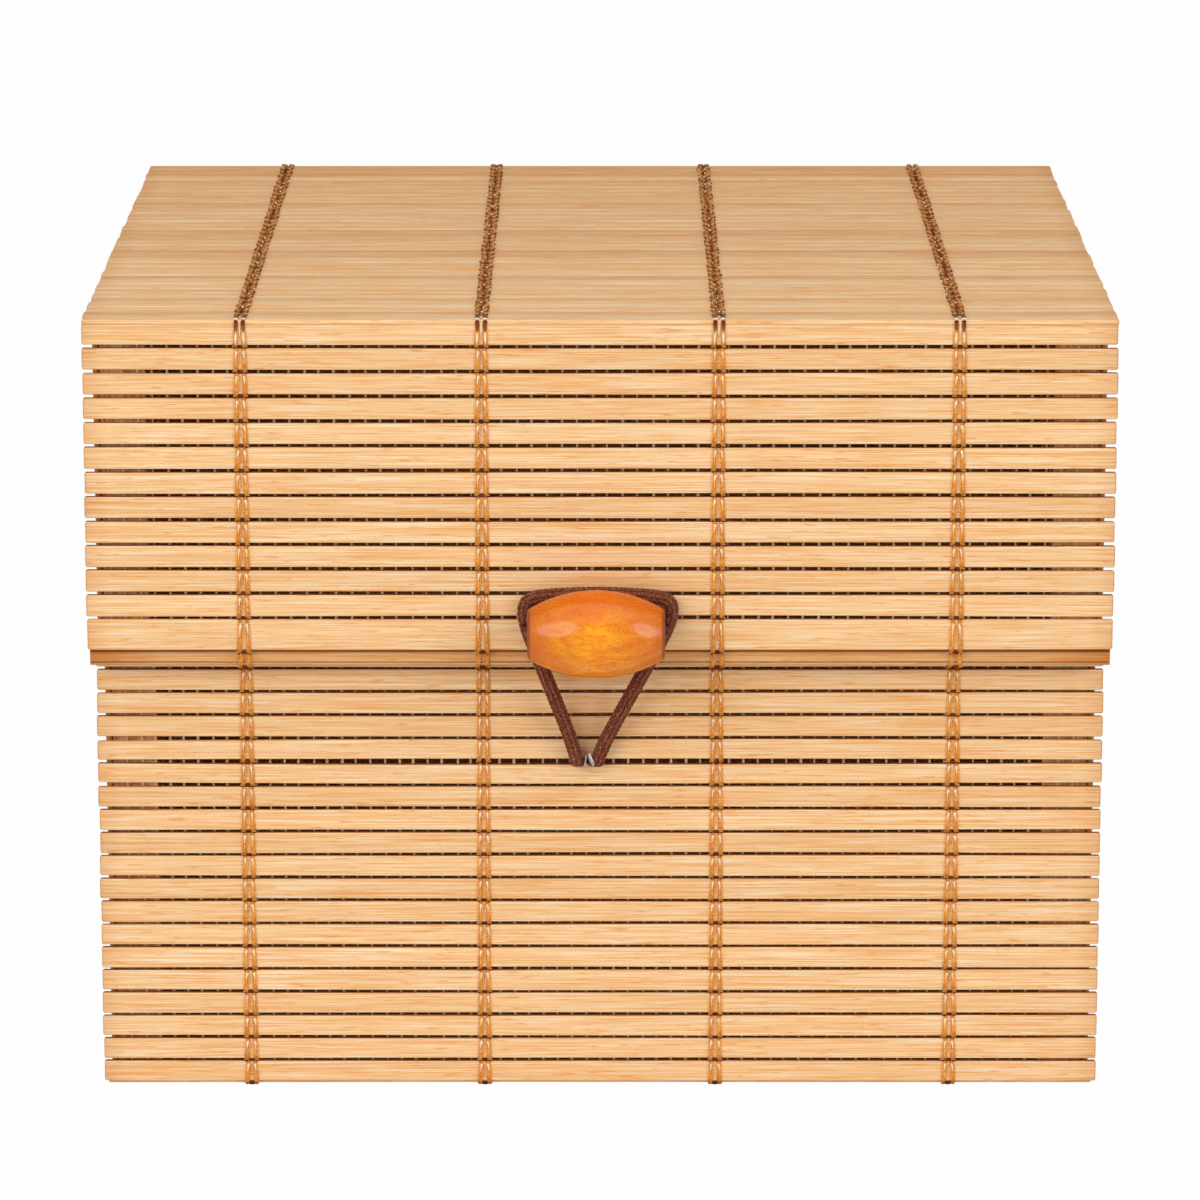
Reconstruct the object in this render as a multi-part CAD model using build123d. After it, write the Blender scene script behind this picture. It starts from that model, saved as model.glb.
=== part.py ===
"""Lidded box of bamboo slat mats, closed by an elastic loop over a barrel bead.

Millimetres. +Z is up, the front faces -Y and X runs to the right. The origin is
on the table, under the middle of the whole object, bead and hinge tape included.
Each mat is a row of separate slats, stitched with thread rows and glued to gauze,
on a light frame of posts and rails.
"""
from build123d import *
import math
import os

os.makedirs("parts", exist_ok=True)

# ---- Slats, gauze and thread ----
slat_thickness = 1.1
slat_edge = 0.25            # chamfer all round a slat
narrowest_slat = 1.0        # a strip left by trimming a mat is not used below this
gauze_thickness = 0.2
thread_width = 2.1
thread_thickness = 0.25
thread_rows_x = (-63.9, -21.1, 21.1, 63.9)
side_thread_rows = (-60.0, -20.0, 20.0, 60.0)   # from the middle of the body's side

# ---- Body ----
body_slat_shortfall = 2.1   # body's slats are this much shorter than the lid's
body_slat_width = 3.82
body_slat_gap = 0.52
body_row_count = 20
body_first_row = 0.95       # lower edge of the lowest front slat
bottom_slat_inset = 1.0     # bottom slats are this much shorter at each end
body_overhang = 1.35        # front slats stand out past the side mats
loop_row = 14               # the loop enters above this row, counted from below
loop_gap = 1.15             # height of the gap that the loop enters
loop_gap_lift = 0.19        # rows above the loop's gap are pushed up by this
back_row_lift = 1.85        # back rows sit this much higher than the front's
bottom_board_thickness = 2.5

# ---- Lid ----
lid_slat_length = 184.0
lid_slat_width = 3.86
lid_slat_gap = 0.64
lid_depth = 170.4           # front of the flap to the back
lid_wall_height = 55.3      # rim to the underside of the top slats
lid_overhang = 1.75         # flap slats stand out past the side mats
flap_reach = 5.5            # flap's front stands this far ahead of the body's front
flap_drop = 4.05            # flap hangs this far below the lid's rim
wide_slat_width = 5.76
strip_drop = 2.95           # inner strip shows this far below the wide slat
strip_inset = 0.3           # inner strip is this much shorter at each end
lid_side_lift = 0.7         # side rows above the flap's gaps that they back
lid_seat_clearance = 0.2    # closed lid over the body's rim
mat_clearance = 0.05        # between the edges of two mats that meet

# ---- Frame of posts and rails ----
post_width = 8.0
post_depth = 4.0
rail_width = 4.0
rail_height = 4.0
back_rail_lift = 0.3        # lid's back rail above the lowest back slat's edge

# ---- Hinge tape ----
tape_thickness = 0.4
tape_height = 16.0
tape_inset = 2.5            # from the body's side faces
tape_split = 0.1            # between the two halves at the fold

# ---- Bead and its cord ----
bead_length = 24.5
bead_diameter = 15.7
bead_end_diameter = 8.7
bead_bore_diameter = 2.4
bead_edge = 0.5
bead_x = -0.7
bead_stand = 9.4            # bead's axis ahead of the flap's front
cord_diameter = 0.6
cord_hang = 0.2             # bore's top over the cord it hangs on
cord_foot = 9.9             # where the cord goes through the flap, from the bead's middle
cord_reach = 1.3            # cord turns back this far past the bead's end
cord_shoulder = (2.7, 4.7)  # cord's two bends between flap and bead, ahead of the flap
cord_bend = 1.0
knot_diameter = 2.6

# ---- Elastic loop ----
loop_diameter = 2.5
loop_skin = 0.2             # loop lies this far off the slats
# Each side from the foot: lead, knee at the flap's edge, hip, shoulder, brow
loop_left_x = (-4.1, -4.3, -11.4, -13.65, -13.45, -9.7)
loop_right_x = (-0.75, -0.2, 9.75, 12.8, 12.9, 8.6)
loop_lead_rise = 2.7        # leg turns outward this far above its foot
loop_knee_bow = 0.15        # knee stands out a little more than the loop above it
loop_rises = (0.0, 3.65, 4.5)   # hip, shoulder and brow above the bead's cord
loop_crown_rise = 4.85      # loop's middle above the bead's cord
loop_side_radii = (8.0, 20.0, 6.0, 2.4, 9.0)
loop_crown_radius = 60.0
tail_width = 2.5
tail_thickness = 0.9
tail_past_loop = 0.1        # tail's front end past the loop it carries
tail_past_crimp = 0.4
crimp_wall = 0.4
crimp_length = 2.2
crimp_stem_width = 0.6
crimp_prong_height = 1.5
crimp_prong_splay = 0.35
crimp_prong_root = 0.2      # the prongs part this far above the stem
crimp_prong_proud = 1.1
crimp_prong_depth = 0.7

# ---- Levels and planes that follow ----
body_pitch = body_slat_width + body_slat_gap
mat_thickness = slat_thickness + gauze_thickness

body_slat_length = lid_slat_length - body_slat_shortfall
body_depth = lid_depth - flap_reach
front_reach = flap_reach + bead_stand + bead_diameter / 2
back_reach = thread_thickness + tape_thickness
body_middle_y = (front_reach - back_reach) / 2
body_front = body_middle_y - body_depth / 2
body_back = body_middle_y + body_depth / 2
lid_front = body_front - flap_reach
lid_back = body_back

bottom_slat_low = thread_thickness
bottom_slat_high = bottom_slat_low + slat_thickness
board_low = bottom_slat_high + gauze_thickness
board_high = board_low + bottom_board_thickness
body_back_top = body_first_row + body_row_count * body_pitch - body_slat_gap
body_rim = body_back_top + loop_gap_lift
loop_gap_middle = (
    body_first_row + loop_row * body_pitch - body_slat_gap / 2 + loop_gap_lift / 2
)

lid_rim = body_rim + lid_seat_clearance
flap_bottom = lid_rim - flap_drop
flap_first_row = flap_bottom + wide_slat_width + lid_slat_gap
cord_level = flap_first_row - lid_slat_gap / 2
top_slat_low = lid_rim + lid_wall_height
lid_top = top_slat_low + slat_thickness
lid_wall_top = top_slat_low - gauze_thickness

body_side = body_slat_length / 2 - body_overhang
lid_side = lid_slat_length / 2 - lid_overhang
fold_level = (body_back_top + flap_first_row) / 2


# ---- Helpers ----
def block(x_span, y_span, z_span):
    """A box given by its extent along each axis."""
    size = [high - low for low, high in (x_span, y_span, z_span)]
    middle = [(high + low) / 2 for low, high in (x_span, y_span, z_span)]
    return Pos(*middle) * Box(*size)


def slat(x_span, y_span, z_span):
    """One bamboo slat with every edge eased."""
    blank = block(x_span, y_span, z_span)
    return chamfer(blank.edges(), slat_edge)


def slat_rows(low, high, first, width, gap):
    """Spans of the slats of a mat between its two cut edges."""
    pitch = width + gap
    start = first - pitch * math.ceil((first - low) / pitch)
    spans = []
    while start < high:
        span = (max(start, low), min(start + width, high))
        if span[1] - span[0] > narrowest_slat:
            spans.append(span)
        start += pitch
    return spans


def spread_rows(low, high, width, gap):
    """Spans of as many slats as fit, with even gaps of about the given size."""
    count = int((high - low + gap) / (width + gap))
    even_gap = (high - low - count * width) / (count - 1)
    starts = [low + row * (width + even_gap) for row in range(count)]
    return [(start, start + width) for start in starts]


def centred(length, middle=0.0):
    """A span of the given length about its middle."""
    return (middle - length / 2, middle + length / 2)


def mirrored(span):
    """The same span on the other side of the centre plane."""
    return (-span[1], -span[0])


def profile(points):
    """A flat face in the YZ plane from (y, z) corners."""
    return make_face(Polyline([(0, y, z) for y, z in points], close=True))


# ---- Body: mats ----
body_slat_x = centred(body_slat_length)
body_front_y = (body_front, body_front + slat_thickness)
body_back_y = (body_back - slat_thickness, body_back)
body_inner_y = (body_front + mat_thickness, body_back - mat_thickness)
body_side_x = (body_side - slat_thickness, body_side)
body_inner_side = body_side - mat_thickness


def body_front_rows():
    """Front rows, opened at the loop's gap."""
    lower_top = loop_gap_middle - loop_gap / 2
    upper_low = loop_gap_middle + loop_gap / 2
    lifted_row = body_first_row + loop_gap_lift
    lower = slat_rows(body_first_row, lower_top, body_first_row, body_slat_width, body_slat_gap)
    upper = slat_rows(upper_low, body_rim, lifted_row, body_slat_width, body_slat_gap)
    return lower + upper


def body_front_slats():
    return [slat(body_slat_x, body_front_y, span) for span in body_front_rows()]


def body_back_slats():
    first = body_first_row + back_row_lift
    rows = slat_rows(body_first_row, body_back_top, first, body_slat_width, body_slat_gap)
    return [slat(body_slat_x, body_back_y, span) for span in rows]


def body_side_slats(x_span):
    """Side rows, set half a row off so that they back the front's gaps."""
    low = bottom_slat_high + mat_clearance
    first = body_first_row + body_pitch - body_slat_gap / 2 - body_slat_width / 2
    rows = slat_rows(low, body_rim, first, body_slat_width, body_slat_gap)
    return [slat(x_span, body_inner_y, span) for span in rows]


def body_bottom_slats():
    """Bottom rows, spread evenly between the front and back mats."""
    x_span = centred(body_slat_length - 2 * bottom_slat_inset)
    z_span = (bottom_slat_low, bottom_slat_high)
    low = body_front + slat_thickness + mat_clearance
    high = body_back - slat_thickness - mat_clearance
    rows = spread_rows(low, high, body_slat_width, body_slat_gap)
    return [slat(x_span, span, z_span) for span in rows]


def body_mat_gauze():
    """One sheet down the front, under the board and up the back, slit for the loop."""
    front, back = body_front + slat_thickness, body_back - slat_thickness
    section = profile([
        (front, body_rim), (front, bottom_slat_high), (back, bottom_slat_high),
        (back, body_back_top), (body_inner_y[1], body_back_top), (body_inner_y[1], board_low),
        (body_inner_y[0], board_low), (body_inner_y[0], body_rim),
    ])
    sheet = extrude(section, body_inner_side, dir=(1, 0, 0), both=True)
    slit = block(crimp_x, centred(2 * mat_thickness, front), centred(loop_gap, loop_gap_middle))
    return [sheet - slit]


def body_side_gauze():
    x_span = (body_inner_side, body_inner_side + gauze_thickness)
    z_span = (bottom_slat_high, body_rim)
    return [block(side, body_inner_y, z_span) for side in (x_span, mirrored(x_span))]


def body_front_threads():
    y_span = (body_front - thread_thickness, body_front)
    z_span = (thread_thickness, body_rim)
    return [block(centred(thread_width, x), y_span, z_span) for x in thread_rows_x]


def body_back_threads():
    y_span = (body_back, body_back + thread_thickness)
    z_span = (thread_thickness, body_back_top)
    return [block(centred(thread_width, x), y_span, z_span) for x in thread_rows_x]


def body_bottom_threads():
    y_span = (body_front - thread_thickness, body_back + thread_thickness)
    return [block(centred(thread_width, x), y_span, (0, thread_thickness)) for x in thread_rows_x]


def side_threads(side, z_span):
    """Thread rows on both sides, outside the side slats."""
    x_span = (side, side + thread_thickness)
    bands = []
    for row in side_thread_rows:
        y_span = centred(thread_width, body_middle_y + row)
        bands.append(block(x_span, y_span, z_span))
        bands.append(block(mirrored(x_span), y_span, z_span))
    return bands


# ---- Body: board, posts and rails ----
body_post_x = (body_inner_side - post_width, body_inner_side)
body_post_front_y = (body_inner_y[0], body_inner_y[0] + post_depth)
body_post_back_y = (body_inner_y[1] - post_depth, body_inner_y[1])
body_rail_z = (body_rim - rail_height, body_rim)
body_side_rail_x = (body_inner_side - rail_width, body_inner_side)
body_rail_between_posts_y = (body_post_front_y[1], body_post_back_y[0])


def bottom_board():
    return [block(centred(2 * body_inner_side), body_inner_y, (board_low, board_high))]


def body_post(x_span, y_span, top):
    return [block(x_span, y_span, (board_high, top))]


def body_cross_rail(y_middle_side, top):
    """A rail between the two posts of the front or the back."""
    x_span = centred(2 * body_post_x[0])
    return [block(x_span, y_middle_side, (top - rail_height, top))]


# ---- Lid: mats ----
lid_slat_x = centred(lid_slat_length)
lid_front_y = (lid_front, lid_front + slat_thickness)
lid_back_y = (lid_back - slat_thickness, lid_back)
lid_inner_y = (lid_front + mat_thickness, lid_back - mat_thickness)
lid_side_x = (lid_side - slat_thickness, lid_side)
lid_inner_side = lid_side - mat_thickness
lid_wall_rows = slat_rows(
    flap_first_row, top_slat_low - mat_clearance, flap_first_row, lid_slat_width, lid_slat_gap
)


def lid_front_slats():
    return [slat(lid_slat_x, lid_front_y, span) for span in lid_wall_rows]


def lid_back_slats():
    return [slat(lid_slat_x, lid_back_y, span) for span in lid_wall_rows]


def lid_wide_slat():
    return [slat(lid_slat_x, lid_front_y, (flap_bottom, flap_bottom + wide_slat_width))]


def lid_inner_strip():
    """Second slat glued behind the flap's lower edge."""
    x_span = centred(lid_slat_length - 2 * strip_inset)
    y_span = (lid_front + mat_thickness, lid_front + mat_thickness + slat_thickness)
    low = flap_bottom - strip_drop
    return [slat(x_span, y_span, (low, low + lid_slat_width))]


def lid_top_slats():
    z_span = (top_slat_low, lid_top)
    rows = spread_rows(lid_front, lid_back, lid_slat_width, lid_slat_gap)
    return [slat(lid_slat_x, span, z_span) for span in rows]


def lid_side_slats(x_span):
    """Side rows, set half a row off so that they back the flap's gaps."""
    first = cord_level - lid_slat_width / 2 + lid_side_lift
    rows = slat_rows(lid_rim, lid_wall_top, first, lid_slat_width, lid_slat_gap)
    return [slat(x_span, lid_inner_y, span) for span in rows]


def lid_mat_gauze():
    """One sheet over flap, top and back, pierced for the bead's cord."""
    front, back = lid_front + slat_thickness, lid_back - slat_thickness
    section = profile([
        (front, flap_bottom), (front, top_slat_low), (back, top_slat_low),
        (back, flap_first_row), (lid_inner_y[1], flap_first_row), (lid_inner_y[1], lid_wall_top),
        (lid_inner_y[0], lid_wall_top), (lid_inner_y[0], flap_bottom),
    ])
    sheet = extrude(section, lid_side, dir=(1, 0, 0), both=True)
    for side in (-1, 1):
        hole = Pos(bead_x + side * cord_foot, front, cord_level) * Rot(90, 0, 0) * Cylinder(
            cord_diameter / 2 + mat_clearance, 4 * gauze_thickness
        )
        sheet -= hole
    return [sheet]


def lid_side_gauze():
    x_span = (lid_inner_side, lid_inner_side + gauze_thickness)
    z_span = (lid_rim, lid_wall_top)
    return [block(side, lid_inner_y, z_span) for side in (x_span, mirrored(x_span))]


def lid_mat_threads():
    """Each row is one band over flap, top and back."""
    section = profile([
        (lid_front - thread_thickness, flap_bottom),
        (lid_front - thread_thickness, lid_top + thread_thickness),
        (lid_back + thread_thickness, lid_top + thread_thickness),
        (lid_back + thread_thickness, flap_first_row),
        (lid_back, flap_first_row),
        (lid_back, lid_top),
        (lid_front, lid_top),
        (lid_front, flap_bottom),
    ])
    band = extrude(section, thread_width / 2, dir=(1, 0, 0), both=True)
    return [Pos(x, 0, 0) * band for x in thread_rows_x]


# ---- Lid: posts and rails ----
lid_post_x = (lid_inner_side - post_width, lid_inner_side)
lid_post_front_y = (lid_inner_y[0], lid_inner_y[0] + post_depth)
lid_post_back_y = (lid_inner_y[1] - post_depth, lid_inner_y[1])
lid_post_z = (lid_rim, lid_wall_top)
lid_side_rail_x = (lid_inner_side - rail_width, lid_inner_side)
lid_rail_between_posts_y = (lid_post_front_y[1], lid_post_back_y[0])


def lid_side_rail(x_span, z_span):
    return [block(x_span, lid_rail_between_posts_y, z_span)]


def lid_back_rail():
    low = flap_first_row + back_rail_lift
    return [block(centred(2 * lid_post_x[0]), lid_post_back_y, (low, low + rail_height))]


# ---- Hinge tape ----
tape_inner = body_back + thread_thickness
tape_outer = tape_inner + tape_thickness


def hinge_tape(z_span):
    x_span = centred(2 * (body_side - tape_inset))
    return [block(x_span, (tape_inner, tape_outer), z_span)]


# ---- Bead and its cord ----
bead_axis_y = lid_front - bead_stand
bead_axis_z = cord_level - (bead_bore_diameter / 2 - cord_diameter / 2 - cord_hang)


def bead():
    """Barrel turned about X with eased rims and a bore end to end."""
    half = bead_length / 2
    end = bead_end_diameter / 2
    outline = Polyline((-half, end), (-half, 0), (half, 0), (half, end))
    belly = ThreePointArc((-half, end), (0, bead_diameter / 2), (half, end))
    section = make_face([outline, belly])
    rims = [vertex for vertex in section.vertices() if abs(vertex.Y - end) < bead_edge / 2]
    barrel = revolve(fillet(rims, bead_edge), axis=Axis.X)
    bore = Rot(0, 90, 0) * Cylinder(bead_bore_diameter / 2, 2 * bead_length)
    return [Pos(bead_x, bead_axis_y, bead_axis_z) * (barrel - bore)]


knot_y = lid_inner_y[0] + knot_diameter / 2
knot_grip = math.sqrt((knot_diameter / 2) ** 2 - (cord_diameter / 2) ** 2)


def bead_cord():
    """Thread from the knot out through the flap, through the bead and back in."""
    turn = bead_length / 2 + cord_reach
    half_route = [
        (knot_grip, knot_y),
        (cord_foot, knot_y),
        (cord_foot, lid_front - cord_shoulder[0]),
        (turn, lid_front - cord_shoulder[1]),
        (turn, bead_axis_y),
    ]
    right = [(bead_x + x, y, cord_level) for x, y in half_route]
    left = [(bead_x - x, y, cord_level) for x, y in reversed(half_route)]
    corners = [*right, *left]
    route = FilletPolyline(*corners, radius=[cord_bend] * len(corners[1:-1]))
    return [tube(route, cord_diameter)]


def bead_cord_knot():
    return [Pos(bead_x, knot_y, cord_level) * Sphere(knot_diameter / 2)]


def tube(route, diameter):
    """A round cord along a route."""
    start = Plane(route @ 0, z_dir=route % 0)
    return sweep(start * Circle(diameter / 2), path=route)


# ---- Elastic loop, its tails and crimp ----
tail_z = centred(tail_thickness, loop_gap_middle)
loop_foot_y = body_front - loop_skin - loop_diameter / 2
loop_ring_y = lid_front - loop_skin - loop_diameter / 2
loop_middle_x = (loop_left_x[0] + loop_right_x[0]) / 2
crimp_stem_x = centred(crimp_stem_width, loop_middle_x)
crimp_x = (
    crimp_stem_x[0] - tail_width - crimp_wall,
    crimp_stem_x[1] + tail_width + crimp_wall,
)
crimp_y = (body_inner_y[0], body_inner_y[0] + crimp_length)


def loop_side(xs):
    """One side of the loop's route, from its foot to beside the crown."""
    lead_z = tail_z[0] + loop_lead_rise
    upper = [(loop_ring_y, cord_level + rise) for rise in loop_rises]
    knee = (loop_ring_y - loop_knee_bow, flap_bottom)
    side = [(loop_foot_y, tail_z[0]), (loop_foot_y, lead_z), knee, *upper]
    return [(x, y, z) for x, (y, z) in zip(xs, side)]


def closure_loop():
    """Elastic from one foot, round the bead's back and down to the other foot."""
    left = loop_side(loop_left_x)
    right = loop_side(loop_right_x)
    crown = (bead_x, loop_ring_y, cord_level + loop_crown_rise)
    radii = [*loop_side_radii, loop_crown_radius, *reversed(loop_side_radii)]
    route = FilletPolyline(*left, crown, *reversed(right), radius=radii)
    print("loop bends (mm):", radii, "length (mm): %.1f" % route.length)
    below_feet = block(crimp_x, centred(4 * loop_diameter, loop_foot_y), (board_high, tail_z[1]))
    return [tube(route, loop_diameter) - below_feet]


def loop_tails():
    """Flattened ends of the elastic, through the gap and the crimp."""
    front = loop_foot_y - loop_diameter / 2 - tail_past_loop
    y_span = (front, crimp_y[1] + tail_past_crimp)
    left = block((crimp_stem_x[0] - tail_width, crimp_stem_x[0]), y_span, tail_z)
    right = block((crimp_stem_x[1], crimp_stem_x[1] + tail_width), y_span, tail_z)
    return [left, right]


def loop_crimp():
    """Steel band round both tails, with a split stem out through the gap."""
    band_z = (tail_z[0] - crimp_wall, tail_z[1] + crimp_wall)
    band = block(crimp_x, crimp_y, band_z)
    for tail in loop_tails():
        band -= tail
    proud = body_front - crimp_prong_proud
    stem = block(crimp_stem_x, (proud, crimp_y[0]), tail_z)
    low = tail_z[1]
    high = low + crimp_prong_height
    tips = [
        (crimp_stem_x[0], low), (crimp_stem_x[0] - crimp_prong_splay, high),
        (loop_middle_x - crimp_prong_splay, high), (loop_middle_x, low + crimp_prong_root),
        (loop_middle_x + crimp_prong_splay, high),
        (crimp_stem_x[1] + crimp_prong_splay, high), (crimp_stem_x[1], low),
    ]
    outline = make_face(Polyline([(x, proud, z) for x, z in tips], close=True))
    prongs = extrude(outline, crimp_prong_depth, dir=(0, 1, 0))
    return [band + stem + prongs]


# ---- Write the nodes ----
lower_tape_z = (fold_level - tape_height / 2, fold_level - tape_split / 2)
upper_tape_z = (fold_level + tape_split / 2, fold_level + tape_height / 2)
lid_rim_rail_z = (lid_rim, lid_rim + rail_height)
lid_top_rail_z = (lid_wall_top - rail_height, lid_wall_top)

nodes = {
    "body_front_slats": body_front_slats(),
    "body_back_slats": body_back_slats(),
    "body_left_slats": body_side_slats(mirrored(body_side_x)),
    "body_right_slats": body_side_slats(body_side_x),
    "body_bottom_slats": body_bottom_slats(),
    "body_mat_gauze": body_mat_gauze(),
    "body_side_gauze": body_side_gauze(),
    "body_front_threads": body_front_threads(),
    "body_back_threads": body_back_threads(),
    "body_bottom_threads": body_bottom_threads(),
    "body_side_threads": side_threads(body_side, (bottom_slat_high + mat_clearance, body_rim)),
    "bottom_board": bottom_board(),
    "body_rail_front": body_cross_rail(body_post_front_y, body_rim),
    "body_rail_back": body_cross_rail(body_post_back_y, body_back_top),
    "lid_front_slats": lid_front_slats(),
    "lid_wide_slat": lid_wide_slat(),
    "lid_inner_strip": lid_inner_strip(),
    "lid_top_slats": lid_top_slats(),
    "lid_back_slats": lid_back_slats(),
    "lid_left_slats": lid_side_slats(mirrored(lid_side_x)),
    "lid_right_slats": lid_side_slats(lid_side_x),
    "lid_mat_gauze": lid_mat_gauze(),
    "lid_side_gauze": lid_side_gauze(),
    "lid_mat_threads": lid_mat_threads(),
    "lid_side_threads": side_threads(lid_side, (lid_rim, lid_wall_top)),
    "lid_rail_back": lid_back_rail(),
    "hinge_tape_lower": hinge_tape(lower_tape_z),
    "hinge_tape_upper": hinge_tape(upper_tape_z),
    "bead": bead(),
    "bead_cord": bead_cord(),
    "bead_cord_knot": bead_cord_knot(),
    "closure_loop": closure_loop(),
    "loop_tails": loop_tails(),
    "loop_crimp": loop_crimp(),
}
for side, flip in (("left", mirrored), ("right", tuple)):
    nodes["body_post_front_" + side] = body_post(flip(body_post_x), body_post_front_y, body_rim)
    nodes["body_post_back_" + side] = body_post(flip(body_post_x), body_post_back_y, body_back_top)
    nodes["body_rail_" + side] = [
        block(flip(body_side_rail_x), body_rail_between_posts_y, body_rail_z)
    ]
    nodes["lid_post_front_" + side] = [block(flip(lid_post_x), lid_post_front_y, lid_post_z)]
    nodes["lid_post_back_" + side] = [block(flip(lid_post_x), lid_post_back_y, lid_post_z)]
    nodes["lid_rail_" + side] = lid_side_rail(flip(lid_side_rail_x), lid_rim_rail_z)
    nodes["lid_top_rail_" + side] = lid_side_rail(flip(lid_side_rail_x), lid_top_rail_z)

for name, solids in nodes.items():
    shape = solids[0] if len(solids) == 1 else Compound(children=solids)
    export_step(shape, "parts/" + name + ".step")
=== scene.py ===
"""Looks of a bamboo slat box with a hinged lid, an elastic loop and a barrel bead.

Every slat, stitch and gauze yarn is laid out from the boxes of the CAD nodes.
Shapes are worked out in millimetres and turned to metres when a piece is made.
"""

import math
import random
from collections import namedtuple
from itertools import pairwise

import bmesh
import bpy
import numpy as np
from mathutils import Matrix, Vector


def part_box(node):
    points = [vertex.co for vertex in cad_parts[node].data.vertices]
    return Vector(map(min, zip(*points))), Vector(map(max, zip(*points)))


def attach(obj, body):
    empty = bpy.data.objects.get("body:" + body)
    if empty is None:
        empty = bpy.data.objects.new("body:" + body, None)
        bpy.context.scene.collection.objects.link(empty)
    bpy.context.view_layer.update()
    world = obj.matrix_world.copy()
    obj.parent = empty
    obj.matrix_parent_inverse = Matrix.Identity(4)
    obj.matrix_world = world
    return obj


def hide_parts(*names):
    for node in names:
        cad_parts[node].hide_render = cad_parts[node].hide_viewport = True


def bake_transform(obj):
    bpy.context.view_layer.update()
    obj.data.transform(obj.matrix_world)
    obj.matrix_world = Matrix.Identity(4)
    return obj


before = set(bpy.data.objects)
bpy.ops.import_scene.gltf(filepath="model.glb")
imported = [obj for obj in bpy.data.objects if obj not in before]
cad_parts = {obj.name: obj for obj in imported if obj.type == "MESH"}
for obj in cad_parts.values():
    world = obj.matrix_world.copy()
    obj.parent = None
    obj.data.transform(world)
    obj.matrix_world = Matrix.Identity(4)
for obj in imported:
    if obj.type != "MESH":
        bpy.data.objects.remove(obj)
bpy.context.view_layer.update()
scene = bpy.context.scene
MM = 0.001
X, Y, Z = 0, 1, 2
WHITE = (1.0, 1.0, 1.0, 1.0)
BODIES = {"body": "box", "lid": "lid"}   # how nodes' names start, and the body they are on


# ---- Node materials ----
class Nodes:
    """A node tree in the making. Where a node takes an output, a plain value will do too."""

    def __init__(self, tree):
        self.tree = tree

    def feed(self, node, inputs):
        """Links outputs to a node's inputs, or sets the inputs' own values."""
        for name, value in inputs.items():
            if isinstance(value, bpy.types.NodeSocket):
                self.tree.links.new(value, node.inputs[name])
            else:
                node.inputs[name].default_value = value

    def add(self, kind, inputs=None, **settings):
        made = self.tree.nodes.new("ShaderNode" + kind)
        for name, value in settings.items():
            setattr(made, name, value)
        self.feed(made, inputs or {})
        return made

    def number(self, kind, first, second=0.0):
        return self.add("Math", {0: first, 1: second}, operation=kind).outputs[0]

    def parts(self, vector):
        """The X, Y and Z of a vector."""
        return tuple(self.add("SeparateXYZ", {"Vector": vector}).outputs)

    def stored(self, name):
        """A vector that the mesh carries per vertex."""
        return self.add("Attribute", attribute_name=name).outputs["Vector"]

    def noise(self, vector, scale, detail=3.0, roughness=0.55, distortion=0.0):
        """Noise over a vector, with its own scale along each axis."""
        mapped = self.add("Mapping", {"Vector": vector, "Scale": scale})
        return self.add("TexNoise", {
            "Vector": mapped.outputs["Vector"], "Scale": 1.0, "Detail": detail,
            "Roughness": roughness, "Distortion": distortion,
        }).outputs["Fac"]

    def ramp(self, factor, *stops):
        """Colours or greys over a factor, as (position, colour or grey) stops."""
        made = self.add("ValToRGB", {"Fac": factor})
        elements = made.color_ramp.elements
        while len(elements) < len(stops):
            elements.new(0.5)
        for element, (position, colour) in zip(elements, stops):
            element.position = position
            element.color = colour if isinstance(colour, tuple) else (colour,) * 3 + (1.0,)
        return made.outputs["Color"]

    def mix(self, factor, first, second, kind="MIX"):
        inputs = {"Factor": factor, 6: first, 7: second}
        return self.add("Mix", inputs, data_type="RGBA", blend_type=kind).outputs[2]

    def tint(self, factor, colour, tone):
        """A colour multiplied by a tone, as far as factor says."""
        return self.mix(factor, colour, self.mix(1.0, colour, tone, "MULTIPLY"))

    def spots(self, colour, field, start, full, share, spot_colour):
        """Covers a share of a colour with another, where a field rises from start to full."""
        return self.mix(self.ramp(field, (start, 0.0), (full, share)), colour, spot_colour)

    def whiten(self, plain, kind, rays, share, output):
        """Shows white to some kinds of rays, as far as share says, and plain to the others."""
        path = self.add("LightPath").outputs
        seen = path[rays[0]]
        for ray in rays[1:]:
            seen = self.number("MAXIMUM", seen, path[ray])
        white = self.add(kind, {"Color": WHITE, "Strength": 1.0})
        mixed = self.add("MixShader", {
            0: self.number("MULTIPLY", seen, share), 1: plain.outputs[0], 2: white.outputs[0],
        })
        self.feed(self.tree.nodes[output], {"Surface": mixed.outputs[0]})


class Finish(Nodes):
    """A material in the making, on a principled shader."""

    def __init__(self, name):
        self.material = bpy.data.materials.new(name)
        self.material.use_nodes = True
        super().__init__(self.material.node_tree)
        self.shader = self.tree.nodes["Principled BSDF"]

    def done(self, colour, roughness, specular=0.5, **others):
        """Feeds the shader, and gives the material."""
        self.feed(self.shader, {
            "Base Color": colour, "Roughness": roughness, "Specular IOR Level": specular, **others,
        })
        return self.material

    def relief(self, height, depth_mm, strength):
        """Roughens the surface by a height."""
        inputs = {"Height": height, "Distance": depth_mm * MM, "Strength": strength}
        self.feed(self.shader, {"Normal": self.add("Bump", inputs).outputs["Normal"]})


def rgb(red, green, blue):
    """Linear colour of an sRGB one, given from 0 to 255."""
    def linear(value):
        value /= 255
        return value / 12.92 if value <= 0.04045 else ((value + 0.055) / 1.055) ** 2.4
    return (linear(red), linear(green), linear(blue), 1.0)


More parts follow.
